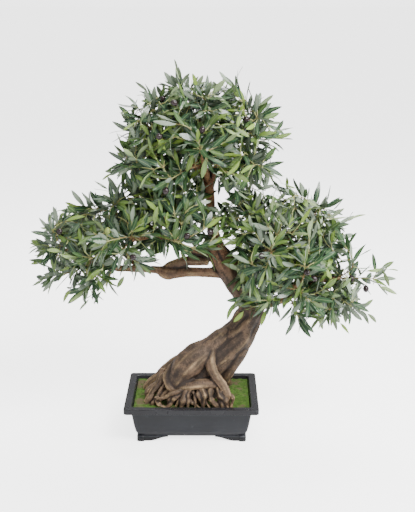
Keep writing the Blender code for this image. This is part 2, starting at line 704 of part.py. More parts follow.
def leaf_sites(name, route):
    """Where leaves grow: opposite pairs, each turned a quarter from the last, and one at the twig's end."""
    draw = random.Random(f"{name} sites {SEED}")
    places = [place for place, _ in route[1:]]
    lengths = [(b - a).length for a, b in zip(places, places[1:])]
    turn = draw.uniform(0, math.pi)
    sites = []
    for station in range(LEAF_PAIRS):
        share = (station + draw.uniform(-0.15, 0.15)) / (LEAF_PAIRS - 0.6)
        walk = BARE_LENGTH + (sum(lengths) - BARE_LENGTH) * max(0.0, share)
        span = 0
        while span < len(lengths) - 1 and walk > lengths[span]:
            walk -= lengths[span]
            span += 1
        direction = (places[span + 1] - places[span]).normalized()
        side = direction.orthogonal().normalized()
        for half_turn in (0.0, math.pi):
            sites.append((places[span] + direction * walk, direction, side, turn + half_turn))
        turn += math.pi / 2 + draw.uniform(-0.3, 0.3)
    direction = (places[-1] - places[-2]).normalized()
    sites.append((places[-1] - direction * 0.004, direction, direction.orthogonal().normalized(), None))
    return sites


def leaf_choice(name, number, attempt, site):
    """The blade that a site bears at one of its attempts, by a draw of its own."""
    place, direction, side, turn = site
    draw = random.Random(f"{name} leaf {number} {attempt} {SEED}")
    size = draw.uniform(0.84, 1.10)
    if turn is None:
        turn, spread = draw.uniform(0, math.tau), draw.uniform(0.05, 0.35)
    else:
        turn, spread = turn + draw.uniform(-0.2, 0.2) * (1 + attempt), draw.uniform(0.6, 1.0)
    outward = side * math.cos(turn) + direction.cross(side) * math.sin(turn)
    along = (direction * math.cos(spread) + outward * math.sin(spread)).normalized()
    face = direction * math.sin(spread) - outward * math.cos(spread) + Vector((0, 0, FACE_UP))
    return blade_points(place, along, face, LEAF_LENGTH * size, LEAF_WIDTH * size, draw.uniform(0.02, 0.14))


def make_leaves(name, route, own_twig, trees, scraps):
    """A spray's leaves. Each is turned until it is clear of its neighbours, or is left off."""
    leaves, own = [], [own_twig]
    for number, site in enumerate(leaf_sites(name, route)):
        for attempt in range(LEAF_ATTEMPTS):
            points = leaf_choice(name, number, attempt, site)
            if crosses(points, BLADE_FACES, trees) or crosses(points, BLADE_FACES[OUTER_FACES:], own):
                continue
            leaves.append(blade(f"{name}_leaf_{number}", points, scraps))
            own.append(BVHTree.FromPolygons(points, BLADE_FACES[OUTER_FACES:], epsilon=CLEAR / 2))
            break
    return leaves


def nearest_on(route, spot):
    """The point of a twig, past its bare stretch, that is nearest to a spot."""
    places = [place for place, _ in route[2:]]
    found = []
    for start, end in zip(places, places[1:]):
        span = end - start
        share = min(0.95, max(0.05, (spot - start).dot(span) / span.length_squared))
        found.append(start + span * share)
    return min(found, key=lambda place: (spot - place).length)


def olives_by_spray(routes):
    """Each olive's spot, given to the spray whose twig runs nearest to it."""
    given = {name: [] for name in routes}
    for spot in OLIVE_SPOTS:
        spot = Vector(spot)
        name = min(routes, key=lambda n: (spot - nearest_on(routes[n], spot)).length)
        given[name].append(spot)
    return given


def make_olives(name, spots, route, trees, scraps):
    """Olives on short stalks. A spot far from the twig is brought in to a stalk's length of it."""
    pieces = []
    for number, spot in enumerate(spots):
        root = nearest_on(route, spot)
        way = spot - root
        if way.length > LONGEST_STALK:
            way *= LONGEST_STALK / way.length
        if way.length < SHORTEST_STALK:
            way = Vector((way.x, way.y - 0.008, -0.013))
        centre = root + way
        bm = bmesh.new()
        bmesh.ops.create_uvsphere(bm, u_segments=5, v_segments=4, radius=0.5)
        bmesh.ops.scale(bm, vec=(OLIVE_WIDTH, OLIVE_WIDTH, OLIVE_LENGTH), verts=bm.verts)
        bmesh.ops.transform(bm, matrix=way.to_track_quat("Z", "Y").to_matrix().to_4x4(), verts=bm.verts)
        bmesh.ops.translate(bm, vec=centre, verts=bm.verts)
        olive = object_from_bmesh(f"{name}_olive_{number}", bm, scraps)
        points, faces = triangles_of(olive)
        if crosses(points, faces, trees):
            bpy.data.objects.remove(olive)
            continue
        stalk_route = [(root, STALK_RADIUS), (root + way * STALK_SHARE, STALK_RADIUS)]
        stalk = tube(f"{name}_stalk_{number}", stalk_route, TWIG_SIDES, scraps)
        pieces += [olive, stalk]
    return pieces


def make_sprays(plans, trunk, material, parts, scraps):
    """All the twigs first, then each spray's olives and leaves, kept clear of every other spray."""
    wood_tree = BVHTree.FromPolygons(*triangles_of(trunk), epsilon=0.0)
    routes, twigs, trees = {}, {}, {}
    for plan in plans:
        route, twig, tree = make_twig(plan, list(trees.values()), wood_tree, scraps)
        routes[plan["name"]], twigs[plan["name"]], trees[plan["name"]] = route, twig, tree
    olives = olives_by_spray(routes)
    grown = dict(trees)
    for plan in plans:
        name = plan["name"]
        others = [tree for other, tree in grown.items() if other != name] + [wood_tree]
        pieces = [twigs[name]]
        pieces += make_olives(name, olives[name], routes[name], others, scraps)
        pieces += make_leaves(name, routes[name], trees[name], others, scraps)
        spray = joined(name, pieces, "UNION", "MANIFOLD", material, parts)
        grown[name] = BVHTree.FromPolygons(*triangles_of(spray), epsilon=CLEAR)


def centre_on_box(parts):
    """Moves every part alike, so that the origin is the bottom centre of the whole object's box."""
    corners = [thing.matrix_world @ vertex.co for thing in parts.objects for vertex in thing.data.vertices]
    for axis in (0, 1):
        values = [corner[axis] for corner in corners]
        middle = (min(values) + max(values)) / 2
        for thing in parts.objects:
            thing.location[axis] -= middle


def main():
    clear_scene()
    materials = make_materials()
    parts = new_collection("olive_bonsai")
    scraps = new_collection("scraps")
    make_pot(materials["pot"], parts, scraps)
    make_filler(materials["filler"], parts, scraps)
    make_mat(materials["moss"], parts, scraps)
    plans = plan_sprays()
    trunk = make_trunk(plans, materials["bark"], parts, scraps)
    make_sprays(plans, trunk, materials["foliage"], parts, scraps)
    bpy.data.collections.remove(scraps)
    bpy.context.view_layer.update()
    centre_on_box(parts)


main()
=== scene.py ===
"""The looks of an olive bonsai: bark, leaves, shoots, olives, moss, pot and a plain studio.

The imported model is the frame. The tree is laid out from the middle of the pot's base, as its source is,
and every piece is moved by the pot's place in the frame.
"""

import itertools
import math
import random

import bpy
import numpy as np
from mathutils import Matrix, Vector
from mathutils.kdtree import KDTree


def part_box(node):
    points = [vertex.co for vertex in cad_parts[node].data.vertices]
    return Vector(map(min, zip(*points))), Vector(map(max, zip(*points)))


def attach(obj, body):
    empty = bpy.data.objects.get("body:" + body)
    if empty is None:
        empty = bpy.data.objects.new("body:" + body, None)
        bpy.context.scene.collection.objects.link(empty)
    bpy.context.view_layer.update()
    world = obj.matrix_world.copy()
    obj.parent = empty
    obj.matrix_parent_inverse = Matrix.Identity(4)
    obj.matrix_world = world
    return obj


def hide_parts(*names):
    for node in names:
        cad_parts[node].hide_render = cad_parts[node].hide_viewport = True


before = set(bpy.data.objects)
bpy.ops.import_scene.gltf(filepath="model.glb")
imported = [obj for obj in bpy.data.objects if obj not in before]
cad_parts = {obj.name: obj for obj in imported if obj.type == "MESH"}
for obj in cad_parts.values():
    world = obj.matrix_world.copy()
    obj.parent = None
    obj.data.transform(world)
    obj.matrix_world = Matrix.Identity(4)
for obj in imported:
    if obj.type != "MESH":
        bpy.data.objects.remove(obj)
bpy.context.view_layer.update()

bl_info = {
    "name": "Olive bonsai",
    "version": (1, 0, 0),
    "blender": (4, 5, 0),
    "location": "View3D > Sidebar > Bonsai",
    "description": "Dresses the packed olive bonsai with bark, leaves, olives, moss and a moulded pot",
    "category": "Object",
}

# The pot's box gives the middle of the layout and the heights of what stands in it
POT_LOW, POT_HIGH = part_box("pot")
MIDDLE = np.array([(POT_LOW.x + POT_HIGH.x) / 2, (POT_LOW.y + POT_HIGH.y) / 2, 0.0])
POT_LENGTH = POT_HIGH.x - POT_LOW.x
POT_WIDTH = POT_HIGH.y - POT_LOW.y
POT_HEIGHT = POT_HIGH.z
MAT_LOW, MAT_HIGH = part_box("moss_mat")

# The studio: a wide floor, and how bright the world is as a light and as the camera sees it
FLOOR_REACH = 60.0
WORLD_LIGHT = 0.55
WORLD_SEEN = 3.4
LIGHT_TARGET = Vector((0.0, 0.0, 0.45))
# Each light's place, size and share of the key light's power
LIGHTS = {
    "key": ((1.5, -1.9, 3.0), (1.6, 1.3), 1.0),
    "fill": ((-2.6, -1.6, 1.4), (2.0, 2.0), 0.14),
    "side": ((2.3, -0.5, 1.7), (1.4, 1.4), 0.30),
    "back": ((0.3, 1.3, 2.6), (2.0, 1.0), 0.35),
}

# The pot: insets are from the rim's edge, and the feet are brackets that meet at each corner
RIM_THICKNESS = 0.0135
RIM_REACH = 0.018
BODY_TOP_INSET = 0.0165
BODY_FOOT_INSET = 0.041
FLOOR_UNDERSIDE = 0.010
FLOOR_TOP = 0.018
FOOT_LENGTH = 0.074
FOOT_SIDE_LENGTH = 0.056
FOOT_DEPTH = 0.015
FOOT_INSET = 0.0325
FOOT_FLAT_SHARE = 0.34

MOSS_GRID = (150, 104)
TUFT_RADIUS = 0.00045

TRUNK_STEPS = 8
# Muscles that wind up the trunk: the stretch of its points they follow, and their shares of its radius
ROPES = 7
ROPE_SPAN = slice(4, 84)
ROPE_WIND = 2.6
ROPE_OUT = 0.60
ROPE_THICKNESS = 0.385
# Rounds of smoothing that the wood is held against to find its ridges
RIDGE_ROUNDS = (3, 13)
# Painted shade: low down, the thick roots lose their tan ridges and are painted dark where the finger roots
# stand this near in front of them
ROOT_SHADE_TOP = 0.146
ROOT_SHADE_FADE = 0.015
ROOT_SHADE_GAP = 0.022
ROOT_SHADE_GAP_FADE = 0.010
ROOT_SHADE_START = 0.001
ROOT_SHADE_DEPTH = 0.006

# The camera that took the photograph, set out from the middle of the pot's base
CAMERA_PLACE = np.array([0.05, -2.23, 1.08])
CAMERA_PITCH = math.radians(-15.7)
CAMERA_YAW = math.radians(-0.28)
CAMERA_LENS = 66.8
CAMERA_SENSOR = 36.0


def spots_mm(*rows):
    """Rows of millimetres as rows of metres."""
    return tuple(tuple(value / 1000 for value in row) for row in rows)


def stations_mm(*rows):
    """Rows (x, y, z, radius) in millimetres as (point, radius) in metres."""
    return tuple(((x, y, z), radius) for x, y, z, radius in spots_mm(*rows))


def bodies_mm(*rows):
    """Rows (x, y, z, and half the size along each) in millimetres as (centre, half sizes) in metres."""
    return tuple((row[:3], row[3:]) for row in spots_mm(*rows))


# The woody routes: where each passes and the radius of the wood there
TRUNK_ROUTE = stations_mm(
    (2, -5, 80, 64), (16, -4, 135, 58), (42, -2, 180, 51), (84, 0, 220, 45), (122, 0, 260, 39),
    (144, 0, 302, 33), (139, 0, 345, 31), (112, 0, 390, 30), (85, 0, 428, 30), (64, 2, 466, 24),
    (52, 2, 510, 15), (48, 0, 560, 11.5), (42, 0, 630, 11), (28, 4, 675, 9.8), (16, 12, 730, 8),
    (12, 22, 785, 5.2),
)
ROOT_ROUTES = {
    "arm": stations_mm(
        (62, -34, 250, 9), (51, -46, 230, 11), (46, -58, 203, 12), (56, -67, 173, 12),
        (76, -75, 147, 11), (86, -78, 124, 10), (88, -72, 78, 6),
    ),
    "knee": stations_mm(
        (96, -6, 272, 18), (72, -20, 250, 22), (42, -34, 228, 26), (12, -43, 205, 33),
        (-13, -46, 181, 34), (-33, -48, 153, 26), (-44, -50, 122, 18), (-42, -52, 80, 18),
    ),
    "cross": stations_mm(
        (-52, -50, 122, 12), (-30, -62, 134, 12.5), (0, -69, 142, 13), (34, -69, 146, 12.5),
        (68, -60, 138, 12), (86, -44, 120, 12),
    ),
    "outer_left": stations_mm(
        (-12, 0, 178, 16), (-48, -6, 158, 13), (-78, -20, 130, 11), (-104, -40, 102, 9),
        (-114, -46, 82, 8),
    ),
    "curl_left": stations_mm(
        (-18, -30, 210, 10), (-44, -38, 182, 10), (-60, -48, 158, 10), (-55, -60, 138, 9),
        (-38, -68, 124, 9),
    ),
    "back_left": stations_mm(
        (-12, 14, 182, 17), (-50, 22, 162, 13), (-84, 30, 130, 11), (-114, 34, 100, 9),
        (-122, 36, 82, 8),
    ),
    "right_lobe": stations_mm(
        (135, -2, 256, 25), (114, -8, 212, 26), (99, -14, 178, 20), (90, -14, 158, 17),
        (74, -6, 124, 14), (66, -2, 80, 14),
    ),
    "back": stations_mm((60, 24, 210, 20), (40, 46, 165, 18), (24, 62, 120, 14), (16, 72, 78, 12)),
    "back_right": stations_mm(
        (92, 26, 200, 16), (86, 48, 150, 13), (90, 62, 110, 9), (96, 68, 78, 7),
    ),
    "back_knee": stations_mm(
        (10, 22, 190, 18), (-22, 44, 145, 16), (-44, 60, 105, 11), (-52, 64, 78, 9),
    ),
}
# The finger roots, and thin roots that tangle in front of the others: each one's thickest radius and the
# places it passes, in millimetres
THIN_ROOTS = (
    (6.8, (-12, -62, 140), (-18, -81, 119), (-26, -85, 82)),
    (3.63, (5, -64, 142), (8, -83, 121), (14, -86, 82)),
    (6.888, (20, -64, 144), (31, -83, 122), (29, -86, 82)),
    (3.4, (38, -64, 140), (48, -83, 116), (55, -86, 82)),
    (4.884, (56, -60, 134), (66, -81, 114), (79, -84, 82)),
    (6.56, (-30, -58, 134), (-50, -74, 116), (-61, -81, 82)),
    (4.9, (-42, -50, 128), (-70, -62, 114), (-86, -68, 82)),
    (5.92, (-54, -34, 122), (-86, -46, 106), (-104, -58, 82)),
    (6.2, (80, -76, 142), (84, -84, 114), (90, -87, 83)),
    (5.4, (88, -73, 136), (98, -79, 112), (97, -82, 83)),
    (5, (77, -74, 138), (70, -85, 116), (76, -88, 83)),
    (5.2, (2, -62, 139), (-9, -81, 124), (-7, -85, 107), (-16, -86, 83)),
    (4.2, (-6, -66, 126), (2, -82, 106), (18, -85, 90)),
    (4.4, (12, -64, 140), (18, -84, 125), (25, -85, 108), (21, -87, 83)),
    (3.6, (21, -62, 137), (30, -82, 121), (37, -84, 103), (45, -86, 83)),
    (7.4, (53, -62, 141), (50, -80, 120), (58, -86, 103), (73, -88, 83)),
    (5, (63, -62, 143), (67, -82, 128), (80, -87, 109), (89, -88, 83)),
    (5.6, (-9, -60, 137), (-37, -76, 130), (-61, -79, 117), (-86, -78, 108)),
    (5.4, (-18, -62, 134), (-37, -78, 114), (-55, -81, 97), (-69, -83, 83)),
    (4.4, (-88, -70, 112), (-83, -79, 99), (-61, -84, 89)),
    (4, (-25, -62, 127), (-33, -78, 106), (-39, -82, 84)),
    (6.8, (-46, -10, 176), (-74, -32, 140), (-100, -52, 112), (-112, -62, 84)),
    (5.6, (-47, -22, 166), (-68, -48, 135), (-92, -66, 100), (-100, -70, 84)),
    (6.4, (-68, 0, 160), (-89, -16, 133), (-108, -32, 110), (-118, -40, 84)),
)
LIMB_ROUTES = {
    "left_lower": stations_mm(
        (92, 0, 412, 16), (46, -2, 411, 12.5), (0, -4, 413, 12), (-40, -5, 413, 15),
        (-64, -5, 413, 15.5), (-84, -6, 420, 9.5), (-130, -10, 424, 8.5), (-187, -16, 428, 7.5),
        (-236, -24, 446, 6.2), (-280, -24, 462, 5),
    ),
    "left_upper_strand": stations_mm(
        (40, 0, 440, 10.5), (12, 0, 441, 12.5), (-22, -1, 439, 12), (-50, -3, 430, 10.5),
        (-68, -4, 420, 8.5),
    ),
    "left_back": stations_mm(
        (-124, -10, 424, 7), (-158, 30, 442, 6.8), (-200, 72, 466, 5.8), (-236, 98, 484, 4.8),
    ),
    "left_high": stations_mm(
        (66, 4, 452, 16), (26, 6, 462, 11.5), (-24, 8, 474, 10), (-74, 10, 508, 8.8),
        (-128, 14, 536, 6.6), (-176, 18, 552, 5),
    ),
    "left_front": stations_mm((-56, 10, 498, 6.8), (-94, -36, 510, 6.2), (-142, -78, 514, 5)),
    "right_low": stations_mm(
        (140, 0, 322, 18), (184, -6, 334, 13), (226, -12, 350, 11.2), (276, -16, 378, 9),
        (322, -20, 398, 6.8), (362, -18, 404, 5),
    ),
    "right_front": stations_mm((222, -12, 350, 8), (240, -48, 384, 6.8), (258, -88, 412, 5)),
    "right_back": stations_mm((240, -12, 358, 8), (264, 36, 382, 6.6), (288, 88, 402, 5)),
    "right_high": stations_mm(
        (112, 4, 392, 18), (156, 14, 428, 12), (204, 22, 470, 9.2), (250, 26, 504, 7.2),
        (292, 26, 528, 5),
    ),
    "right_crown": stations_mm((170, 16, 440, 7.8), (176, -30, 470, 6.4), (188, -70, 492, 5)),
    "top_left": stations_mm(
        (40, 0, 640, 9), (0, -8, 690, 8), (-46, -14, 730, 6.4), (-86, -16, 752, 5),
    ),
    "top_right": stations_mm((44, 0, 622, 9), (66, 4, 684, 8), (98, 6, 730, 6.4), (130, 6, 762, 5)),
    "top_front": stations_mm((42, 0, 634, 7.6), (34, -46, 678, 6.4), (28, -88, 710, 5)),
    "top_back": stations_mm((44, 0, 612, 7.6), (46, 52, 660, 6.4), (42, 92, 694, 5)),
}

# Limbs whose bark is nearly as old as the trunk's: 0 is as the trunk and 1 is young
OLD_LIMBS = {
    "left_lower": 0.25, "left_upper_strand": 0.15, "left_high": 0.45, "right_low": 0.35, "right_high": 0.5,
}

# Where each spray's twig ends, by the pad of foliage it belongs to
SPRAY_TIPS = {
    "top": spots_mm(
        (-82, -20, 820), (-30, 20, 856), (36, -50, 846), (104, 20, 852), (158, -30, 796), (194, 30, 736),
        (166, -50, 682), (-142, 10, 756), (-152, -50, 690), (18, -134, 756), (-46, -118, 664),
        (30, 136, 736),
    ),
    "left": spots_mm(
        (-262, 30, 566), (-330, -50, 532), (-352, 30, 468), (-334, -20, 408), (-256, -60, 386),
        (-124, -80, 458), (-184, -40, 594), (-104, 20, 588), (-190, -146, 528), (-24, -100, 512),
        (-268, 136, 498), (-142, 130, 506),
    ),
    "right": spots_mm(
        (150, 40, 566), (244, 20, 604), (326, 40, 566), (366, -50, 492), (452, -10, 398),
        (388, -60, 344), (338, 30, 306), (258, -60, 316), (174, -124, 456), (262, -138, 476),
        (284, -120, 376), (330, 130, 430),
    ),
}
PAD_LIMBS = {
    "top": ("trunk", "top_left", "top_right", "top_front", "top_back"),
    "left": ("left_lower", "left_back", "left_high", "left_front"),
    "right": ("right_low", "right_front", "right_back", "right_high", "right_crown"),
}
# The rounded bodies of foliage, as ellipsoids (centre, half sizes) that the tips of the side shoots fill
PAD_BODIES = {
    "top": bodies_mm(
        (14, 0, 768, 176, 135, 102), (-80, -15, 690, 100, 110, 66), (110, -10, 690, 80, 95, 50),
    ),
    "left": bodies_mm(
        (-215, 0, 488, 156, 140, 90), (-85, -20, 560, 120, 110, 78), (12, -55, 535, 66, 55, 68),
        (-16, -10, 622, 50, 70, 50),
    ),
    "right": bodies_mm(
        (238, 0, 480, 138, 140, 130), (320, 0, 370, 98, 110, 66), (170, -48, 430, 66, 80, 105),
        (135, 0, 545, 70, 90, 55),
    ),
}
# Tips of the loose shoots that reach out past the bodies
WISP_TIPS = {
    "top": spots_mm(
        (-53, -15, 858), (-22, 8, 866), (13, -22, 841), (96, -16, 865), (143, -24, 810), (189, -17, 758),
        (174, 25, 699), (181, -33, 673), (-156, -24, 726), (-165, 16, 660), (-129, -39, 770),
        (-89, 15, 833), (137, 10, 622), (176, -10, 602), (115, -40, 606), (82, 30, 612), (196, 10, 640),
        (94, -50, 640),
    ),
    "left": spots_mm(
        (-336, -32, 491), (-318, 16, 520), (-284, 15, 562), (-349, -25, 408), (-348, 25, 441),
        (-275, -40, 392), (-240, -24, 362), (-211, -15, 381), (-256, 15, 407), (-153, -34, 427),
        (-186, 7, 609),
    ),
    "right": spots_mm(
        (367, 16, 532), (332, 31, 550), (269, 23, 592), (231, 39, 589), (341, -44, 479), (407, -24, 427),
        (452, -17, 428), (440, -34, 392), (416, -25, 324), (351, -41, 309), (320, -32, 311),
        (118, -65, 367), (135, -73, 351), (107, 24, 551), (148, 32, 587), (120, -20, 570),
        (96, -40, 540), (182, 30, 598),
    ),
}
# Left of this, foliage may hang below the left limb; right of it the limb is bare
BARE_LIMB_FROM = -0.200
BARE_LIMB_TOP = 0.475
OLIVE_SPOTS = spots_mm(
    (-49, -40, 852), (110, -70, 800), (32, -130, 790), (-62, -130, 622), (-290, -80, 530),
    (-186, -150, 556), (0, -110, 540), (164, -130, 490), (267, -145, 455), (321, -90, 374),
    (386, -30, 414), (424, -30, 360),
)
MORE_OLIVE_SPOTS = spots_mm(
    (-34, -110, 836), (-68, -128, 765), (-132, -128, 486), (46, -90, 536), (285, -135, 437),
)
# Where the upper left limb shows between the leaves
LIMB_VIEWS = spots_mm((-20, 0, 472), (4, 0, 467), (-8, -80, 494))
# An olive's size, how far it may hang from its twig, and how near before it no leaf is left
OLIVE_LENGTH = 0.019
OLIVE_WIDTH = 0.0145
OLIVE_HANG = 0.026
OLIVE_CLEARANCE = 0.014
OLIVE_VIEW = 0.012

# The spray rule of the solids, repeated so that the fine leaves stand where theirs do
SEED = 1807
LOWEST_SPRAY = 0.64
BARE_SHARE = 0.42
STATION_STEP = 0.012
STATION_SPACING = 0.015
END_SINK = 0.010
PLUG_START = 0.0006
ELBOW = 0.018
BARE_LENGTH = 0.010
LEAF_LENGTH = 0.056
LEAF_WIDTH = 0.0130
LEAF_PAIRS = 5
LEAF_ATTEMPTS = 10
TWIG_ATTEMPTS = 24
TWIG_SPANS = 4
FACE_UP = 0.5
MATCH_REACH = 0.0005
TWIG_MATCH_REACH = 0.0030

# A full-grown fine leaf, and how much farther apart the pairs are on loose shoots
FULL_WIDTH = 0.0150
FULL_LENGTH = 0.063
WISP_STRETCH = 1.6
# Most of the leaves that show their felted side are high up on the right
SILVER_RIGHT_OF = 0.10
SILVER_ABOVE = 0.50
SILVER_BELOW = 0.63
SILVER_SHARE = 0.58
HUNG_SHARE = 0.09
# Side shoots: how near the tip leaves are young, where the tips stand in a body, and the shoots' wood
SHOOT_END_REACH = 0.070
TIP_TRIES = 9000
TIPS_FROM = 0.42
TIPS_TO = 0.94
TWIG_THICK = 0.0016
TWIG_THIN = 0.0010
TWIG_AGE = 0.30
SHOOT_THICKEST = 0.0019
SHOOT_THIN = 0.0008
SHOOT_AGE = 0.60
BRANCHING = 0.012
WISP_END = 0.016


class WoodSettings(bpy.types.PropertyGroup):
    voxel: bpy.props.FloatProperty(
        name="Grain of the wood mesh", description="Size of the cells that the strands are fused with",
        default=0.0025, min=0.001, unit="LENGTH",
    )
    fine_voxel: bpy.props.FloatProperty(
        name="Grain of the fine roots", description="Size of the cells that the fine roots are fused with",
        default=0.0015, min=0.0008, unit="LENGTH",
    )
    furrow: bpy.props.FloatProperty(
        name="Furrow depth", description="Depth of the grooves that run along the bark",
        default=0.0011, unit="LENGTH",
    )
    # The crevice colour is painted shade in the hollows and behind the low roots, and also the colour of
    # dark speckles in the bark
    dark: bpy.props.FloatVectorProperty(
        name="Crevice colour", description="Bark between the strands",
        subtype="COLOR", default=(0.018, 0.010, 0.006),
    )
    middle: bpy.props.FloatVectorProperty(
        name="Bark colour", description="Most of the trunk",
        subtype="COLOR", default=(0.125, 0.076, 0.044),
    )
    # The ridge colour is partly worn bark and partly a painted highlight on the bulges
    tan: bpy.props.FloatVectorProperty(
        name="Ridge colour", description="Worn edges and bulges",
        subtype="COLOR", default=(0.46, 0.310, 0.160),
    )
    limb: bpy.props.FloatVectorProperty(
        name="Limb colour", description="Younger wood of the limbs",
        subtype="COLOR", default=(0.30, 0.135, 0.060),
    )


class LeafSettings(bpy.types.PropertyGroup):
    thickness: bpy.props.FloatProperty(
        name="Leaf thickness", description="Thickness of a leaf at its rib",
        default=0.0009, unit="LENGTH",
    )
    tip_spacing: bpy.props.FloatProperty(
        name="Tip spacing", description="Least distance between the tips of two side shoots",
        default=0.0250, unit="LENGTH",
    )
    spacing: bpy.props.FloatProperty(
        name="Pair spacing", description="Distance between pairs of leaves on a shoot",
        default=0.0146, unit="LENGTH",
    )
    old: bpy.props.FloatVectorProperty(
        name="Old leaf", description="Upper side of a grown leaf",
        subtype="COLOR", default=(0.021, 0.064, 0.027),
    )
    fresh: bpy.props.FloatVectorProperty(
        name="Young leaf", description="Upper side of a young leaf",
        subtype="COLOR", default=(0.34, 0.50, 0.068),
    )
    under: bpy.props.FloatVectorProperty(
        name="Underside", description="Felted lower side", subtype="COLOR", default=(0.29, 0.36, 0.27),
    )
    olive: bpy.props.FloatVectorProperty(
        name="Ripe olive", description="Colour of a ripe fruit",
        subtype="COLOR", default=(0.014, 0.007, 0.008),
    )


class PotSettings(bpy.types.PropertyGroup):
    shell: bpy.props.FloatVectorProperty(
        name="Pot colour", description="Moulded shell", subtype="COLOR", default=(0.020, 0.021, 0.0255),
    )
    edge: bpy.props.FloatProperty(
        name="Edge radius", description="Rounding of the rim's edges", default=0.0018, unit="LENGTH",
    )


class MossSettings(bpy.types.PropertyGroup):
    green: bpy.props.FloatVectorProperty(
        name="Moss green", description="Fresh moss", subtype="COLOR", default=(0.072, 0.150, 0.024),
    )
    worn: bpy.props.FloatVectorProperty(
        name="Worn patches", description="Brown bare patches",
        subtype="COLOR", default=(0.105, 0.078, 0.045),
    )
    tufts: bpy.props.IntProperty(name="Tufts", description="Little moss spikes", default=9000, min=0)


class StageSettings(bpy.types.PropertyGroup):
    paper: bpy.props.FloatVectorProperty(
        name="Paper", description="Floor and backdrop", subtype="COLOR", default=(0.93, 0.93, 0.93),
    )
    glow: bpy.props.FloatProperty(
        name="Paper glow", description="Light from the paper itself", default=3.0, min=0.0,
    )
    key: bpy.props.FloatProperty(
        name="Key light", description="Power of the big soft light", default=195.0, unit="POWER",
    )


class Value:
    """A number or colour socket. Python's operators on it add Math nodes, and mix adds a Mix node."""

    def __init__(self, paint, socket):
        self.paint = paint
        self.socket = socket

    def _math(self, operation, first, second):
        return self.paint.node("ShaderNodeMath", {"operation": operation}, {0: first, 1: second})

    def __add__(self, other):
        return self._math("ADD", self, other)

    def __sub__(self, other):
        return self._math("SUBTRACT", self, other)

    def __rsub__(self, other):
        return self._math("SUBTRACT", other, self)

    def __mul__(self, other):
        return self._math("MULTIPLY", self, other)

    __radd__ = __add__
    __rmul__ = __mul__


class Paint:
    """A material under construction. Its node method makes any node and fills its sockets."""

    def __init__(self, name):
        self.material = bpy.data.materials.new(name)
        self.material.use_nodes = True
        self.tree = self.material.node_tree
        self.shader = self.tree.nodes["Principled BSDF"]

    def put(self, socket, value):
        if isinstance(value, Value):
            self.tree.links.new(value.socket, socket)
        elif hasattr(socket, "default_value"):
            if hasattr(value, "__len__") and len(value) == 3 and len(socket.default_value) == 4:
                value = (*value, 1.0)
            socket.default_value = value

    def node(self, kind, settings=None, inputs=None, output=0):
        made = self.tree.nodes.new(kind)
        for name, value in (settings or {}).items():
            setattr(made, name, value)
        for name, value in (inputs or {}).items():
            self.put(made.inputs[name], value)
        return Value(self, made.outputs[output])

    def mix(self, share, first, second):
        """The first colour at a share of 0 and the second at 1."""
        return self.node("ShaderNodeMix", {"data_type": "RGBA"}, {0: share, 6: first, 7: second}, output=2)

    def noise(self, place, scale, detail=3.0, roughness=0.5):
        return self.node(
            "ShaderNodeTexNoise", None,
            {"Vector": place, "Scale": scale, "Detail": detail, "Roughness": roughness},
        )

    def ramp(self, value, low, high):
        """0 below low, 1 above high and even between them."""
        return self.node(
            "ShaderNodeMapRange", {"interpolation_type": "SMOOTHSTEP"},
            {"Value": value, "From Min": low, "From Max": high, "To Min": 0.0, "To Max": 1.0},
        )

    def attribute(self, name, output="Fac"):
        return self.node("ShaderNodeAttribute", {"attribute_name": name}, output=output)

    def place(self):
        return self.node("ShaderNodeTexCoord", output="Object")

    def bump(self, height, distance, strength):
        """Raise the surface's grain by a height from 0 to 1, over a distance in metres."""
        inputs = {"Height": height, "Distance": distance, "Strength": strength}
        self.put(self.shader.inputs["Normal"], self.node("ShaderNodeBump", None, inputs))

    def finish(self, **sockets):
        """The material, once the shader's own sockets are filled."""
        for name, value in sockets.items():
            self.put(self.shader.inputs[name.replace("_", " ")], value)
        return self.material


def settings(name):
    return getattr(bpy.context.scene, "bonsai_" + name)


def unit(vectors):
    """Each row divided by its length."""
    return vectors / np.maximum(np.linalg.norm(vectors, axis=-1, keepdims=True), 1e-12)


def lattice(cells, seed):
    """A fixed value from 0 to 1 for each whole-number cell, by a sine hash."""
    mixed = np.sin(cells @ np.array([127.1, 311.7, 74.7]) + seed * 17.13) * 43758.5453
    return mixed - np.floor(mixed)


def value_noise(points, seed=0):
    """Smooth noise from -1 to 1: hashes of a cell's 8 corners, blended by 3t^2 - 2t^3 along each axis."""
    cell = np.floor(points)
    t = points - cell
    t = t * t * (3 - 2 * t)
    total = 0.0
    for corner in np.ndindex(2, 2, 2):
        weight = np.prod(np.where(np.array(corner) == 1, t, 1 - t), axis=-1)
        total = total + weight * lattice(cell + corner, seed)
    return total * 2 - 1


def layered_noise(points, layers, seed=0):
    """Noise plus half as much at twice the scale, and so on."""
    return sum(value_noise(points * 2**k, seed + k) / 2**k for k in range(layers))


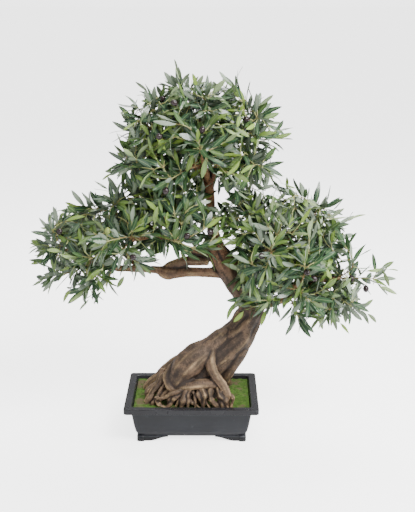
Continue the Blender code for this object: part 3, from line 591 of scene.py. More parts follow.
def mesh_object(name, points, faces, material, attributes=None):
    """A mesh object at the origin, from an array of points, a list of face arrays and values per point."""
    mesh = bpy.data.meshes.new(name)
    sizes = np.concatenate([np.full(len(block), block.shape[1], np.int32) for block in faces])
    loops = np.concatenate([block.ravel() for block in faces]).astype(np.int32)
    mesh.vertices.add(len(points))
    mesh.loops.add(len(loops))
    mesh.polygons.add(len(sizes))
    mesh.vertices.foreach_set("co", np.asarray(points, np.float32).ravel())
    mesh.loops.foreach_set("vertex_index", loops)
    mesh.polygons.foreach_set("loop_start", np.concatenate([[0], np.cumsum(sizes)[:-1]]).astype(np.int32))
    mesh.polygons.foreach_set("use_smooth", np.ones(len(sizes), bool))
    mesh.update(calc_edges=True)
    for key, values in (attributes or {}).items():
        values = np.asarray(values, np.float32)
        kind = "FLOAT" if values.ndim == 1 else "FLOAT_VECTOR"
        field = "value" if values.ndim == 1 else "vector"
        mesh.attributes.new(key, kind, "POINT").data.foreach_set(field, values.ravel())
    mesh.validate()
    made = bpy.data.objects.new(name, mesh)
    bpy.context.scene.collection.objects.link(made)
    if material:
        mesh.materials.append(material)
    return made


def with_poles(values):
    """Values for the points of rings, with the first and last repeated for the two poles."""
    return np.concatenate([values[:1], values, values[-1:]])


def even_angles(count):
    """Angles round a ring, evenly spaced."""
    return np.arange(count) * math.tau / count


def ring_faces(rings, count, start=0):
    """Quads between consecutive closed rings of count points."""
    row, column = np.meshgrid(np.arange(rings - 1) * count, np.arange(count), indexing="ij")
    following = (column + 1) % count
    quads = np.stack([row + column, row + following, row + count + following, row + count + column], -1)
    return quads.reshape(-1, 4) + start


def capped_faces(rings, count):
    """Quads between rings and a fan of triangles to a pole before the first ring and another after the last.

    Points are ordered as the first pole, the rings and the last pole."""
    around = np.arange(count)
    following = (around + 1) % count
    last = 1 + (rings - 1) * count
    head = np.stack([np.zeros(count, int), 1 + following, 1 + around], -1)
    tail = np.stack([np.full(count, 1 + rings * count), last + around, last + following], -1)
    return ring_faces(rings, count, 1), np.concatenate([head, tail])


def smooth_route(stations, steps):
    """Points and radii on a Catmull-Rom curve through (point, radius) stations."""
    points = np.array([place for place, _ in stations], float)
    radii = np.array([radius for _, radius in stations], float)
    rows = np.column_stack([points, radii])
    rows = np.vstack([2 * rows[0] - rows[1], rows, 2 * rows[-1] - rows[-2]])
    t = np.arange(steps)[:, None] / steps
    weights = (-0.5 * t + t**2 - 0.5 * t**3, 1 - 2.5 * t**2 + 1.5 * t**3,
               0.5 * t + 2 * t**2 - 1.5 * t**3, -0.5 * t**2 + 0.5 * t**3)
    spans = [sum(w * rows[i + k] for k, w in enumerate(weights)) for i in range(len(rows) - 3)]
    rows = np.vstack([*spans, rows[-2]])
    return rows[:, :3], np.maximum(rows[:, 3], 0.0005)


def carried_frames(points):
    """Tangents of a path and two directions across it, carried along without twist."""
    tangents = unit(np.gradient(points, axis=0))
    side = unit(np.cross(tangents[0], [0.31, 0.22, 0.93]))
    sides = []
    for tangent in tangents:
        side = side - tangent * (side @ tangent)
        side = side / np.linalg.norm(side)
        sides.append(side)
    sides = np.array(sides)
    return tangents, sides, np.cross(tangents, sides)


def tube_points(points, radii, sides, swell=1.0):
    """A tube with a pole at each end: centre + radius * swell * (cos a * first + sin a * second).

    first and second run across the path, and the angles a are even."""
    tangents, first, second = carried_frames(points)
    angles = even_angles(sides)[None, :, None]
    across = np.cos(angles) * first[:, None] + np.sin(angles) * second[:, None]
    reach = np.broadcast_to(radii[:, None] * swell, across.shape[:2])
    rings = points[:, None] + across * reach[..., None]
    head = points[0] - tangents[0] * radii[0] * 0.3
    tail = points[-1] + tangents[-1] * radii[-1] * 0.3
    return np.vstack([head, rings.reshape(-1, 3), tail])


class Heap:
    """Gathers the points, faces and attributes of many small closed shells into one mesh."""

    def __init__(self):
        self.points, self.quads, self.triangles, self.attributes, self.total = [], [], [], {}, 0

    def add(self, points, quads, triangles, **attributes):
        self.points.append(points)
        self.quads.append(quads + self.total)
        self.triangles.append(triangles + self.total)
        for key, values in attributes.items():
            values = np.asarray(values, float)
            self.attributes.setdefault(key, []).append(np.broadcast_to(values, len(points)))
        self.total += len(points)

    def build(self, name, material):
        faces = [np.concatenate(self.quads), np.concatenate(self.triangles)]
        joined = {key: np.concatenate(values) for key, values in self.attributes.items()}
        return mesh_object(name, np.concatenate(self.points) + MIDDLE, faces, material, joined)


# Wood

def bark_material(values):
    """Brown bark: painted shade in the hollows, tan on the ridges that is partly worn bark and partly
    painted highlight, and redder where the wood is young.
    """
    paint = Paint("bark_finish")
    place = paint.place()
    grain = paint.attribute("grain", "Vector")
    ridge = paint.attribute("ridge")
    young = paint.attribute("young")
    broad = paint.noise(place, 34.0, 5.0, 0.70)
    fibre = paint.noise(grain, 1.0, 5.0, 0.65)
    speckle = paint.noise(place, 260.0, 4.0, 0.75)
    base = paint.mix(paint.ramp(broad, 0.38, 0.60), values.middle, [c * 0.36 for c in values.middle])
    base = paint.mix(young * 0.85, base, values.limb)
    # Tan on the ridges: partly worn bark, partly a painted highlight on the bulges
    worn = paint.ramp(ridge * 0.7 + speckle * 0.8 + fibre * 0.3 + broad * 0.6, 1.14, 1.62)
    base = paint.mix(worn * (1 - young * 0.55), base, values.tan)
    # Painted shade: the hollows, and the wood behind the low roots in front, are darkened
    hollow_shade = paint.ramp(ridge + fibre * 0.20 + broad * 0.20, 0.53, 0.22)
    base = paint.mix(hollow_shade * 0.93, base, values.dark)
    base = paint.mix(paint.ramp(speckle + broad * 0.5, 0.72, 0.86) * 0.75, base, values.dark)
    paint.bump(fibre * 0.5 + speckle * 0.5, 0.0020, 0.9)
    return paint.finish(Base_Color=base, Roughness=0.52 + fibre * 0.3, Specular_IOR_Level=0.45)


def muscle_routes():
    """Ropes of wood that wind up the trunk: its axis moved out by a share of its radius as it turns."""
    points, radii = smooth_route(TRUNK_ROUTE, TRUNK_STEPS)
    points, radii = points[ROPE_SPAN], radii[ROPE_SPAN]
    _, side, cross = carried_frames(points)
    share = np.linspace(0, 1, len(points))
    ropes = []
    for number in range(ROPES):
        angle = math.tau * number / ROPES + share * ROPE_WIND + 0.35 * np.sin(share * 9 + 2.3 * number)
        out = np.cos(angle)[:, None] * side + np.sin(angle)[:, None] * cross
        ends = np.clip(np.minimum(share, 1 - share) * 9, 0.25, 1)
        thick = radii * (ROPE_THICKNESS + 0.06 * np.sin(share * 13 + 1.9 * number)) * ends
        ropes.append((points + out * (radii * ROPE_OUT * (0.75 + 0.25 * ends))[:, None], thick))
    return ropes


def wood_strands():
    """The main wood's strands as (name, points, radii, sides, youth, flutes).

    Youth is 0 on the roots, up to 1 on the limbs, and None where it goes by the height."""
    points, radii = smooth_route(TRUNK_ROUTE, TRUNK_STEPS)
    strands = [("trunk", points, radii * 0.985, 40, None, 5)]
    for number, (points, radii) in enumerate(muscle_routes()):
        strands.append((f"rope_{number}", points, radii, 18, None, 2))
    for name, stations in ROOT_ROUTES.items():
        points, radii = smooth_route(stations, 7)
        rise = np.linspace(0, 1, len(points))
        strands.append((name, points, radii * np.clip(0.45 + rise * 4, 0, 1), 22, 0.0, 3))
    for name, stations in LIMB_ROUTES.items():
        strands.append((name, *smooth_route(stations, 7), 18, OLD_LIMBS.get(name, 1.0), 3))
    return strands


def fine_strands():
    """The finger roots and the rootlets, pinched here and there and pointed where they enter the moss."""
    strands = []
    for number, (radius, *passed) in enumerate(THIN_ROOTS):
        points, radii = smooth_route(stations_mm(*[(*place, radius) for place in passed]), 9)
        share = np.linspace(0, 1, len(points))
        pinch = 1 + 0.20 * np.sin(share * 11 + 1.7 * number) + 0.12 * np.sin(share * 23 + number)
        strands.append((f"finger_{number}", points, radii * pinch * (1.12 - 0.5 * share**2), 16, 0.0, 2))
    return strands


def wrapped(angles, reach, start, along):
    """Places on a cylinder: (reach cos a + start, reach sin a, along) for every ring and angle."""
    flat = np.cos(angles)[None] * reach + start, np.sin(angles)[None] * reach
    return np.stack(np.broadcast_arrays(*flat, along[:, None]), -1)


def strand_shell(number, name, points, radii, sides, youth, flutes):
    """One strand's tube. Its radius swells by flutes that wind slowly along it and by lumps of noise."""
    walked = np.concatenate([[0], np.cumsum(np.linalg.norm(np.diff(points, axis=0), axis=1))])
    fine = name.startswith("finger")
    wander = np.stack([value_noise(points * (55 if fine else 28) + 11 * k, number) for k in range(3)], -1)
    reach = np.array([0.0060, 0.0030, 0.0015]) if fine else 0.10 * radii[:, None]
    points = points + wander * reach
    angles = even_angles(sides)
    wind = angles[None] * flutes + walked[:, None] * 16 + number
    ripple = angles[None] * (2 * flutes + 1) - walked[:, None] * 25
    lumps = value_noise(wrapped(angles, 1.4, number, walked * 38), number)
    swell = 1 + 0.055 * np.sin(wind) + 0.03 * np.sin(ripple) + 0.07 * lumps
    shell = tube_points(points, radii, sides, swell)
    around = wrapped(angles, 2.6, 3.1 * number, walked * 26)
    grain = np.vstack([around[:1, 0], around.reshape(-1, 3), around[-1:, 0]])
    young = np.clip((points[:, 2] - 0.40) / 0.10, 0, 1) if youth is None else np.full(len(points), youth)
    return shell, grain, with_poles(np.repeat(young, sides))


def neighbours_mean(values, edges, count):
    """The mean of each vertex's neighbours, along the mesh's edges."""
    total = np.zeros((count, values.shape[1]))
    number = np.zeros(count)
    for a, b in ((0, 1), (1, 0)):
        np.add.at(total, edges[:, a], values[edges[:, b]])
        np.add.at(number, edges[:, a], 1)
    return total / np.maximum(number, 1)[:, None]


def search_tree(points):
    """A search tree over an array of points."""
    tree = KDTree(len(points))
    for index, place in enumerate(points):
        tree.insert(place, index)
    tree.balance()
    return tree


def shade_behind_roots(points, shading_roots):
    """How much painted shade each point takes from the low roots in front of it, from 0 to 1, by how deep it
    lies behind them.
    """
    tree = search_tree(np.concatenate([axis for _, axis, *_ in shading_roots]) + MIDDLE)
    found = [tree.find(place) for place in points]
    gap = np.array([distance for _, _, distance in found])
    beyond = np.linalg.norm(np.array([place[:2] for place, _, _ in found]) - MIDDLE[:2], axis=1)
    behind = beyond - np.linalg.norm(points[:, :2] - MIDDLE[:2], axis=1)
    low = np.clip((ROOT_SHADE_TOP - points[:, 2]) / ROOT_SHADE_FADE, 0, 1)
    near = np.clip((ROOT_SHADE_GAP - gap) / ROOT_SHADE_GAP_FADE, 0, 1)
    return low * near * np.clip((behind - ROOT_SHADE_START) / ROOT_SHADE_DEPTH, 0, 1)


def build_wood(name, strands, voxel, values, material, shading_roots=()):
    """The strands fused by a voxel remesh, smoothed, and furrowed along the strand nearest to each point.

    ridge is how far a point stands out from the wood round it, and the bark paints shade where it is low.
    Behind the low roots in front it falls to nothing, which paints their shade on the wood."""
    heap = Heap()
    grains, youths = [], []
    for number, (strand, points, radii, sides, youth, flutes) in enumerate(strands):
        shell, grain, young = strand_shell(number, strand, points, radii, sides, youth, flutes)
        heap.add(shell, *capped_faces(len(points), sides))
        grains.append(grain)
        youths.append(young)
    rough = heap.build("rough_" + name, None)
    remesh = rough.modifiers.new("fuse", "REMESH")
    remesh.mode = "VOXEL"
    remesh.voxel_size = voxel
    soften = rough.modifiers.new("soften", "SMOOTH")
    soften.iterations = 2
    graph = bpy.context.evaluated_depsgraph_get()
    fused = rough.evaluated_get(graph).to_mesh()
    count = len(fused.vertices)
    points = np.zeros(count * 3, np.float32)
    normals = np.zeros(count * 3, np.float32)
    fused.vertices.foreach_get("co", points)
    fused.vertex_normals.foreach_get("vector", normals)
    points, normals = points.reshape(-1, 3).astype(float), normals.reshape(-1, 3).astype(float)
    edges = np.zeros(len(fused.edges) * 2, np.int32)
    fused.edges.foreach_get("vertices", edges)
    edges = edges.reshape(-1, 2)
    corners = np.zeros(len(fused.loops), np.int32)
    fused.loops.foreach_get("vertex_index", corners)
    tree = search_tree(np.concatenate(heap.points) + MIDDLE)
    nearest = np.array([tree.find(place)[1] for place in points])
    grain = np.concatenate(grains)[nearest]
    young = np.concatenate(youths)[nearest]
    smooth, bends = points, []
    for rounds in RIDGE_ROUNDS:
        for _ in range(rounds):
            smooth = neighbours_mean(smooth, edges, count)
        bend = np.sum((points - smooth) * normals, axis=1)
        bends.append(np.clip(0.5 + (bend - np.median(bend)) / (3.2 * bend.std()), 0, 1))
    ridge = 0.6 * bends[0] + 0.4 * bends[1]
    furrows = layered_noise(grain * np.array([1.3, 1.3, 0.6]), 3, 5)
    lumps = layered_noise(points * 48, 3, 9)
    depth = values.furrow * np.where(young > 0.6, 0.45, 1.0)
    points = points + normals * (depth * (0.6 * furrows + 1.2 * lumps))[:, None]
    ridge = np.clip(ridge + 0.12 * furrows + 0.14 * lumps, 0, 1)
    # Painted shade: the wood behind the low finger roots is darkened
    if shading_roots:
        ridge = ridge * (1 - shade_behind_roots(points, shading_roots))
    rough.to_mesh_clear()
    bpy.data.objects.remove(rough)
    attributes = {"grain": grain, "ridge": ridge, "young": young}
    return mesh_object(name, points, [corners.reshape(-1, 4)], material, attributes)


# Sprays

def stations_of(routes):
    """Where a spray may be plugged in along a pad's limbs: (point, limb direction, is it the limb's end)."""
    found = []
    for name, stations in routes:
        route = [Vector(place) for place, _ in stations]
        walked = 0.0
        whole = sum((b - a).length for a, b in zip(route, route[1:]))
        for start, end in zip(route, route[1:]):
            span = (end - start).length
            direction = (end - start) / span
            count = max(1, int(span / STATION_STEP))
            for step in range(count):
                along = walked + span * step / count
                place = start + direction * span * step / count
                far_enough = place.z > LOWEST_SPRAY if name == "trunk" else along > BARE_SHARE * whole
                if far_enough and along < whole - STATION_SPACING:
                    found.append((place, direction, False))
            walked += span
        found.append((route[-1] - direction * END_SINK, direction, True))
    return found


def plan_sprays(pad):
    """For each spray of a pad, where it is plugged in, the way it leaves the wood and where its twig ends.

    The second list holds the stations that no spray took."""
    plans = []
    free = stations_of([(n, TRUNK_ROUTE if n == "trunk" else LIMB_ROUTES[n]) for n in PAD_LIMBS[pad]])
    for number, tip in enumerate(SPRAY_TIPS[pad]):
        target = Vector(tip)
        place, direction, at_end = min(free, key=lambda s: (target - s[0]).length * (0.9 if s[2] else 1.0))
        free = [s for s in free if (s[0] - place).length > STATION_SPACING]
        way = (target - place).normalized()
        if at_end:
            leave, sink = direction * 0.65 + way * 0.35, END_SINK
        else:
            leave, sink = way - direction * way.dot(direction) * 0.4 + Vector((0, 0, 0.10)), 0.0
        name = f"spray_{pad}_{number + 1:02d}"
        plans.append({"name": name, "root": place, "leave": leave.normalized(), "sink": sink, "tip": target})
    return plans, free


def twig_curve(plan, bow, spans):
    """The twig's points: out of its hole to the elbow, then a quadratic curve to its tip."""
    elbow = plan["root"] + plan["leave"] * (ELBOW + plan["sink"])
    middle = elbow + plan["leave"] * 0.42 * (plan["tip"] - elbow).length + bow
    route = [plan["root"] + plan["leave"] * PLUG_START, elbow]
    for step in range(1, spans + 1):
        t = step / spans
        route.append((1 - t) ** 2 * elbow + 2 * t * (1 - t) * middle + t * t * plan["tip"])
    return route


def solid_points(node):
    """A search tree over the points of a spray's solid, laid out from the middle of the pot."""
    shift = Vector(MIDDLE)
    return search_tree([vertex.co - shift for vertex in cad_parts[node].data.vertices])


def matched_bow(plan, tree):
    """The bow that the solid's twig took: the first whose points all lie by the solid's own."""
    for attempt in range(TWIG_ATTEMPTS):
        draw = random.Random(f"{plan['name']} twig {attempt} {SEED}")
        size = 0.004 + 0.003 * attempt
        bow = Vector([draw.uniform(-size, size) for _ in range(3)])
        route = twig_curve(plan, bow, TWIG_SPANS)
        if all(tree.find(place)[2] < TWIG_MATCH_REACH for place in route[2:-1]):
            return bow
    return Vector()


def walked_to(route, lengths, walk):
    """Where a walk along a route comes to, the way it goes there and a direction across."""
    span = 0
    while span < len(lengths) - 1 and walk > lengths[span]:
        walk -= lengths[span]
        span += 1
    direction = (route[span + 1] - route[span]).normalized()
    return route[span] + direction * walk, direction, direction.orthogonal().normalized()


def leaf_sites(name, route):
    """The solid's leaf sites: opposite pairs, each turned a quarter from the last, and one at the end."""
    draw = random.Random(f"{name} sites {SEED}")
    twig = route[1:]
    lengths = [(b - a).length for a, b in zip(twig, twig[1:])]
    turn = draw.uniform(0, math.pi)
    sites = []
    for station in range(LEAF_PAIRS):
        share = (station + draw.uniform(-0.15, 0.15)) / (LEAF_PAIRS - 0.6)
        walk = BARE_LENGTH + (sum(lengths) - BARE_LENGTH) * max(0.0, share)
        place, direction, side = walked_to(twig, lengths, walk)
        for half_turn in (0.0, math.pi):
            sites.append((place, direction, side, turn + half_turn))
        turn += math.pi / 2 + draw.uniform(-0.3, 0.3)
    direction = (twig[-1] - twig[-2]).normalized()
    sites.append((twig[-1] - direction * 0.004, direction, direction.orthogonal().normalized(), None))
    return sites


def leaf_choice(name, number, attempt, site):
    """The leaf that the solid's rule draws at a site: (root, along, face, length, width, droop)."""
    place, direction, side, turn = site
    draw = random.Random(f"{name} leaf {number} {attempt} {SEED}")
    size = draw.uniform(0.84, 1.10)
    if turn is None:
        turn, spread = draw.uniform(0, math.tau), draw.uniform(0.05, 0.35)
    else:
        turn, spread = turn + draw.uniform(-0.2, 0.2) * (1 + attempt), draw.uniform(0.6, 1.0)
    outward = side * math.cos(turn) + direction.cross(side) * math.sin(turn)
    along = (direction * math.cos(spread) + outward * math.sin(spread)).normalized()
    face = direction * math.sin(spread) - outward * math.cos(spread) + Vector((0, 0, FACE_UP))
    face = along.cross(face).normalized().cross(along).normalized()
    return place, along, face, LEAF_LENGTH * size, LEAF_WIDTH * size, draw.uniform(0.02, 0.14)


def matched_leaves(name, route, tree):
    """The leaves that the solid has: at each site, the attempt whose tip is one of its points."""
    found = []
    for number, site in enumerate(leaf_sites(name, route)):
        for attempt in range(LEAF_ATTEMPTS):
            place, along, face, length, width, droop = leaf_choice(name, number, attempt, site)
            tip = place + along * length - face * (droop * length + 0.3 * 0.0014)
            if tree.find(tip)[2] < MATCH_REACH:
                found.append((place, along, face, length, width, droop))
                break
    return found


def shoot_curve(root, lean, tip, draw, spans=7):
    """A side shoot: a quadratic curve that leaves the wood along its lean and bends up to its tip."""
    reach = (tip - root).length
    drift = Vector([draw.uniform(-0.16, 0.16) for _ in range(3)])
    middle = root + (tip - root) * 0.45 + (lean * 0.20 + drift + Vector((0, 0, 0.10))) * reach
    steps = [k / spans for k in range(spans + 1)]
    return [(1 - t) ** 2 * root + 2 * t * (1 - t) * middle + t * t * tip for t in steps]


def turned_leaf(place, along, middle, length, width, share, draw):
    """A leaf whose face looks up and out from the middle of its pad, as leaves turn to the light.

    Some hang over and show their felted side, most of them high up on the right."""
    out = (place - middle).normalized()
    scatter = Vector([draw.gauss(0, 0.5) for _ in range(3)])
    face = out * 0.75 + Vector((0, 0, 0.55)) + scatter
    high_right = place.x > SILVER_RIGHT_OF and SILVER_ABOVE < place.z < SILVER_BELOW
    if draw.random() < (SILVER_SHARE if high_right else HUNG_SHARE):
        face = -face
    face = along.cross(face).normalized().cross(along).normalized()
    return place, along, face, length, width, draw.uniform(-0.10, 0.34), share


def shoot_leaves(route, spacing, draw, middle, bare=0.25, size=1.0):
    """Opposite pairs of leaves along a shoot, turned by quarters, smaller at its tip, and one at the end."""
    lengths = [(b - a).length for a, b in zip(route, route[1:])]
    whole = sum(lengths)
    turn = draw.uniform(0, math.pi)
    walk = whole * bare
    leaves = []
    while walk < whole - 0.004:
        place, direction, side = walked_to(route, lengths, walk)
        share = max(0.0, 1.0 - (whole - walk) / SHOOT_END_REACH)
        grown = size * (1.0 - 0.25 * share)
        for half_turn in (0.0, math.pi):
            if draw.random() < 0.05 + 0.25 * share:
                continue
            angle = turn + half_turn + draw.uniform(-0.35, 0.35)
            spread = draw.uniform(0.50, 1.12) - 0.25 * share
            outward = side * math.cos(angle) + direction.cross(side) * math.sin(angle)
            along = direction * math.cos(spread) + outward * math.sin(spread)
            along = (along + Vector((0, 0, draw.uniform(-0.25, 0.15)))).normalized()
            length = FULL_LENGTH * grown * draw.uniform(0.74, 1.08)
            width = FULL_WIDTH * grown ** 0.6 * draw.uniform(0.72, 1.06)
            leaves.append(turned_leaf(place, along, middle, length, width, share, draw))
        turn += math.pi / 2 + draw.uniform(-0.3, 0.3)
        walk += spacing * draw.uniform(0.85, 1.20)
    direction = (route[-1] - route[-2]).normalized()
    length = FULL_LENGTH * size * draw.uniform(0.55, 0.8)
    leaves.append(turned_leaf(route[-1], direction, middle, length, FULL_WIDTH * 0.72, 1.0, draw))
    return leaves


def body_points(pad, spacing, draw):
    """Shoot tips spread evenly through the outer part of a pad's bodies, with the spacing between them."""
    found = []
    for _ in range(TIP_TRIES):
        centre, half = draw.choice(PAD_BODIES[pad])
        way = Vector([draw.gauss(0, 1) for _ in range(3)]).normalized()
        reach = draw.uniform(TIPS_FROM**3, TIPS_TO**3) ** (1 / 3)
        spot = Vector([c + h * w * reach for c, h, w in zip(centre, half, way)])
        if pad == "left" and spot.x > BARE_LIMB_FROM and spot.z < BARE_LIMB_TOP:
            continue
        if all((spot - other).length > spacing for other in found):
            found.append(spot)
    return found


def grow_pad(pad, values):
    """What grows in a pad: shoots (points, thick end, thin end, age), the solids' leaves, more and twigs."""
    draw = random.Random(f"{pad} pad {SEED}")
    plans, free = plan_sprays(pad)
    bodies = PAD_BODIES[pad]
    middle = sum((Vector(centre) for centre, _ in bodies), Vector()) / len(bodies)
    shoots, leaves, extra, twigs = [], [], [], []
    joints = [(place, direction, 0.0) for place, direction, _ in free]
    for plan in plans:
        tree = solid_points(plan["name"])
        bow = matched_bow(plan, tree)
        coarse = twig_curve(plan, bow, TWIG_SPANS)
        route = twig_curve(plan, bow, 12)
        twigs.append(route)
        shoots.append((route, TWIG_THICK, TWIG_THIN, TWIG_AGE))
        leaves += [(*leaf, 0.35) for leaf in matched_leaves(plan["name"], coarse, tree)]
        extra += shoot_leaves(route[1:], values.spacing * 1.9, draw, middle, 0.30)
        joints += [(a, (b - a).normalized(), 0.0) for a, b in zip(route[2:], route[3:])]
    targets = body_points(pad, values.tip_spacing, draw)
    targets.sort(key=lambda spot: min((spot - place).length for place, _, _ in joints))
    loose = [Vector(spot) for spot in WISP_TIPS[pad]]
    for spot in targets + loose:
        place, lean, depth = min(joints, key=lambda joint: (spot - joint[0]).length + BRANCHING * joint[2])
        reach = (spot - place).length
        if reach < values.spacing:
            continue
        curve = shoot_curve(place, lean, spot, draw)
        thick = min(SHOOT_THICKEST, TWIG_THIN + 0.008 * reach)
        shoots.append((curve, thick, SHOOT_THIN, SHOOT_AGE))
        bare = 0.35 if reach > 0.06 else 0.15
        if spot in loose:
            curve = [*curve, spot + (spot - middle).normalized() * WISP_END]
            extra += shoot_leaves(curve, values.spacing * WISP_STRETCH, draw, middle, 0.3, 0.9)
        else:
            extra += shoot_leaves(curve, values.spacing, draw, middle, bare)
        joints += [(a, (b - a).normalized(), depth + 1) for a, b in zip(curve[3:], curve[4:])]
    return shoots, leaves, extra, twigs


def leaf_material(values):
    """Leaves: dark glossy green above with a paler rib, grey-green felt below, yellow-green when young, and
    painted shade on the leaves deep in the pad.
    """
    paint = Paint("leaf_finish")
    young = paint.attribute("young")
    tint = paint.attribute("tint")
    under = paint.ramp(paint.attribute("under"), 0.50, 0.60)
    across = paint.attribute("across")
    place = paint.place()
    blotch = paint.noise(place, 90.0, 2.0, 0.5)
    rib = paint.ramp(across * across, 0.030, 0.004)
    lighter = [c * gain for c, gain in zip(values.old, (3.0, 2.3, 2.0))]
    mature = paint.mix(tint * tint, values.old, lighter)
    mature = paint.mix(blotch * 0.35, mature, [c * 0.6 for c in values.old])
    # Painted shade: leaves deep inside the pad are darkened, above and below
    mature = paint.mix(paint.attribute("inner_shade") * 0.6, mature, [c * 0.45 for c in values.old])
    top = paint.mix(young, mature, values.fresh)
    top = paint.mix(rib * 0.40, top, [0.30, 0.40, 0.17])
    felt = paint.mix(tint, [c * 0.7 for c in values.under], values.under)
    felt = paint.mix(paint.attribute("inner_shade") * 0.7, felt, [c * 0.35 for c in values.under])
    below = paint.mix(young * 0.7, felt, values.fresh)
    below = paint.mix(rib * 0.3, below, [0.40, 0.45, 0.28])
    colour = paint.mix(under, top, below)
    colour = paint.mix(paint.ramp(paint.attribute("stalk"), 0.3, 0.9), colour, [0.42, 0.46, 0.18])
    paint.bump(rib, 0.0004, 0.6)
    return paint.finish(
        Base_Color=colour, Roughness=0.30 + under * 0.32 + blotch * 0.12, Specular_IOR_Level=0.45,
        Coat_Weight=(1 - under) * 0.4, Coat_Roughness=0.12,
    )


def shoot_material():
    """Shoots: brown at their thick end, passing into yellow-green."""
    paint = Paint("shoot_finish")
    young = paint.attribute("young")
    blotch = paint.noise(paint.place(), 160.0, 3.0, 0.6)
    colour = paint.mix(paint.ramp(young + blotch * 0.3, 0.40, 0.90), [0.24, 0.14, 0.06], [0.46, 0.50, 0.20])
    paint.bump(blotch, 0.0003, 0.5)
    return paint.finish(Base_Color=colour, Roughness=0.5 + blotch * 0.2)


def olive_material(values):
    """Olives: near-black purple skin with a bloom, or green where unripe."""
    paint = Paint("olive_finish")
    ripe = paint.attribute("ripe")
    blotch = paint.noise(paint.place(), 130.0, 3.0, 0.6)
    skin = paint.mix(paint.ramp(ripe + blotch * 0.35, 0.35, 0.75), [0.22, 0.28, 0.06], values.olive)
    skin = paint.mix(blotch * 0.16, skin, [0.11, 0.06, 0.07])
    paint.bump(blotch, 0.0002, 0.4)
    return paint.finish(Base_Color=skin, Roughness=0.14 + blotch * 0.16, Specular_IOR_Level=0.5)


LEAF_RINGS = np.array([0.02, 0.075, 0.15, 0.30, 0.50, 0.70, 0.86, 0.96])
STALK_END = 0.065
# One ring of a leaf: how far across, and which side of the blade
LEAF_ACROSS = np.array([-1.0, 0.0, 1.0, 0.0])
LEAF_HEIGHT = np.array([0.0, 0.42, 0.0, -0.58])
LEAF_UNDER = np.array([0.5, 0.0, 0.5, 1.0])


def outwardness(pad, spots):
    """How far each spot is from the middle of the nearest of a pad's bodies, where 1 is on its surface."""
    reaches = [np.linalg.norm((spots - centre) / half, axis=1) for centre, half in PAD_BODIES[pad]]
    return np.min(reaches, axis=0)


def build_leaves(name, leaves, values, draw):
    """All of a pad's leaves at once. For length L, width W and droop d, with s from 0 to 1 along the leaf:

    centre = root + along * L s - face * d L s^2, and half width = W/2 * sin(pi u)^0.60, where u runs from 0
    at the stalk's end to 1 at the tip. The leaf sways to one side by a share of L s^2 and ripples by a sine
    of s. The ring round the centre is a thin lens folded up along its rib and turned a little about it."""
    count = len(leaves)
    root, along, face = (np.array([tuple(leaf[k]) for leaf in leaves]) for k in range(3))
    length, width, droop, share = (np.array([leaf[k] for leaf in leaves]) for k in range(3, 7))
    across = np.cross(along, face)
    s = LEAF_RINGS[None, :]
    blade = np.clip((s - STALK_END) / (1 - STALK_END), 0, 1)
    half = 0.5 * width[:, None] * np.sin(np.pi * blade) ** 0.60
    half = np.maximum(half, 0.0006)
    fold = draw.uniform(0.0, 0.22, count)[:, None, None]
    turn = draw.uniform(-0.9, 0.9, count)[:, None] * s
    sway = draw.uniform(-0.18, 0.18, count)[:, None] * s**2
    wave = 0.02 * np.sin(s * 9 + draw.uniform(0, 6, count)[:, None])
    centre = (
        root[:, None]
        + along[:, None] * (length[:, None] * s)[..., None]
        - face[:, None] * (length[:, None] * (droop[:, None] * s**2 + wave * 0.4))[..., None]
        + across[:, None] * (length[:, None] * sway)[..., None]
    )
    turned_across = across[:, None] * np.cos(turn)[..., None] + face[:, None] * np.sin(turn)[..., None]
    turned_face = face[:, None] * np.cos(turn)[..., None] - across[:, None] * np.sin(turn)[..., None]
    thin = values.thickness * np.clip(half / (0.25 * width[:, None]), 0.35, 1.0)
    shift_across = half[..., None] * LEAF_ACROSS
    shift_face = thin[..., None] * LEAF_HEIGHT + fold * np.abs(shift_across) * 0.8
    rings = (
        centre[:, :, None]
        + turned_across[:, :, None] * shift_across[..., None]
        + turned_face[:, :, None] * shift_face[..., None]
    )
    sides = len(LEAF_ACROSS)
    number = len(LEAF_RINGS)
    tip = centre[:, -1] * 1.55 - centre[:, -2] * 0.55
    points = np.concatenate([root[:, None], rings.reshape(count, -1, 3), tip[:, None]], axis=1)
    size = points.shape[1]
    quads, triangles = capped_faces(number, sides)
    starts = (np.arange(count) * size)[:, None, None]
    youth = np.clip(share * 1.3 - 0.85 + draw.uniform(-0.40, 0.30, count), 0, 1) ** 1.3
    # Painted shade: leaves deep inside their pad get a darker colour and a darker tint
    inner_shade = np.clip((0.98 - outwardness(name.split("_")[-1], root)) / 0.40, 0, 1)
    per_ring_across = np.concatenate([[0.0], np.tile(LEAF_ACROSS, number), [0.0]])
    per_ring_under = np.concatenate([[0.5], np.tile(LEAF_UNDER, number), [0.5]])
    is_stalk = np.where(LEAF_RINGS < STALK_END + 0.02, 1.0, 0.0)
    stalk = np.concatenate([[1.0], np.repeat(is_stalk, sides), [0.0]])
    attributes = {
        "young": np.repeat(youth, size),
        "tint": np.repeat(draw.uniform(0, 1, count) * (1 - 0.8 * inner_shade), size),
        "inner_shade": np.repeat(inner_shade, size),
        "across": np.tile(per_ring_across, count),
        "under": np.tile(per_ring_under, count),
        "stalk": np.tile(stalk, count),
    }
    faces = [(quads[None] + starts).reshape(-1, 4), (triangles[None] + starts).reshape(-1, 3)]
    made = mesh_object(name, points.reshape(-1, 3) + MIDDLE, faces, leaf_material(values), attributes)
    made.data.set_sharp_from_angle(angle=math.radians(70))
    return made


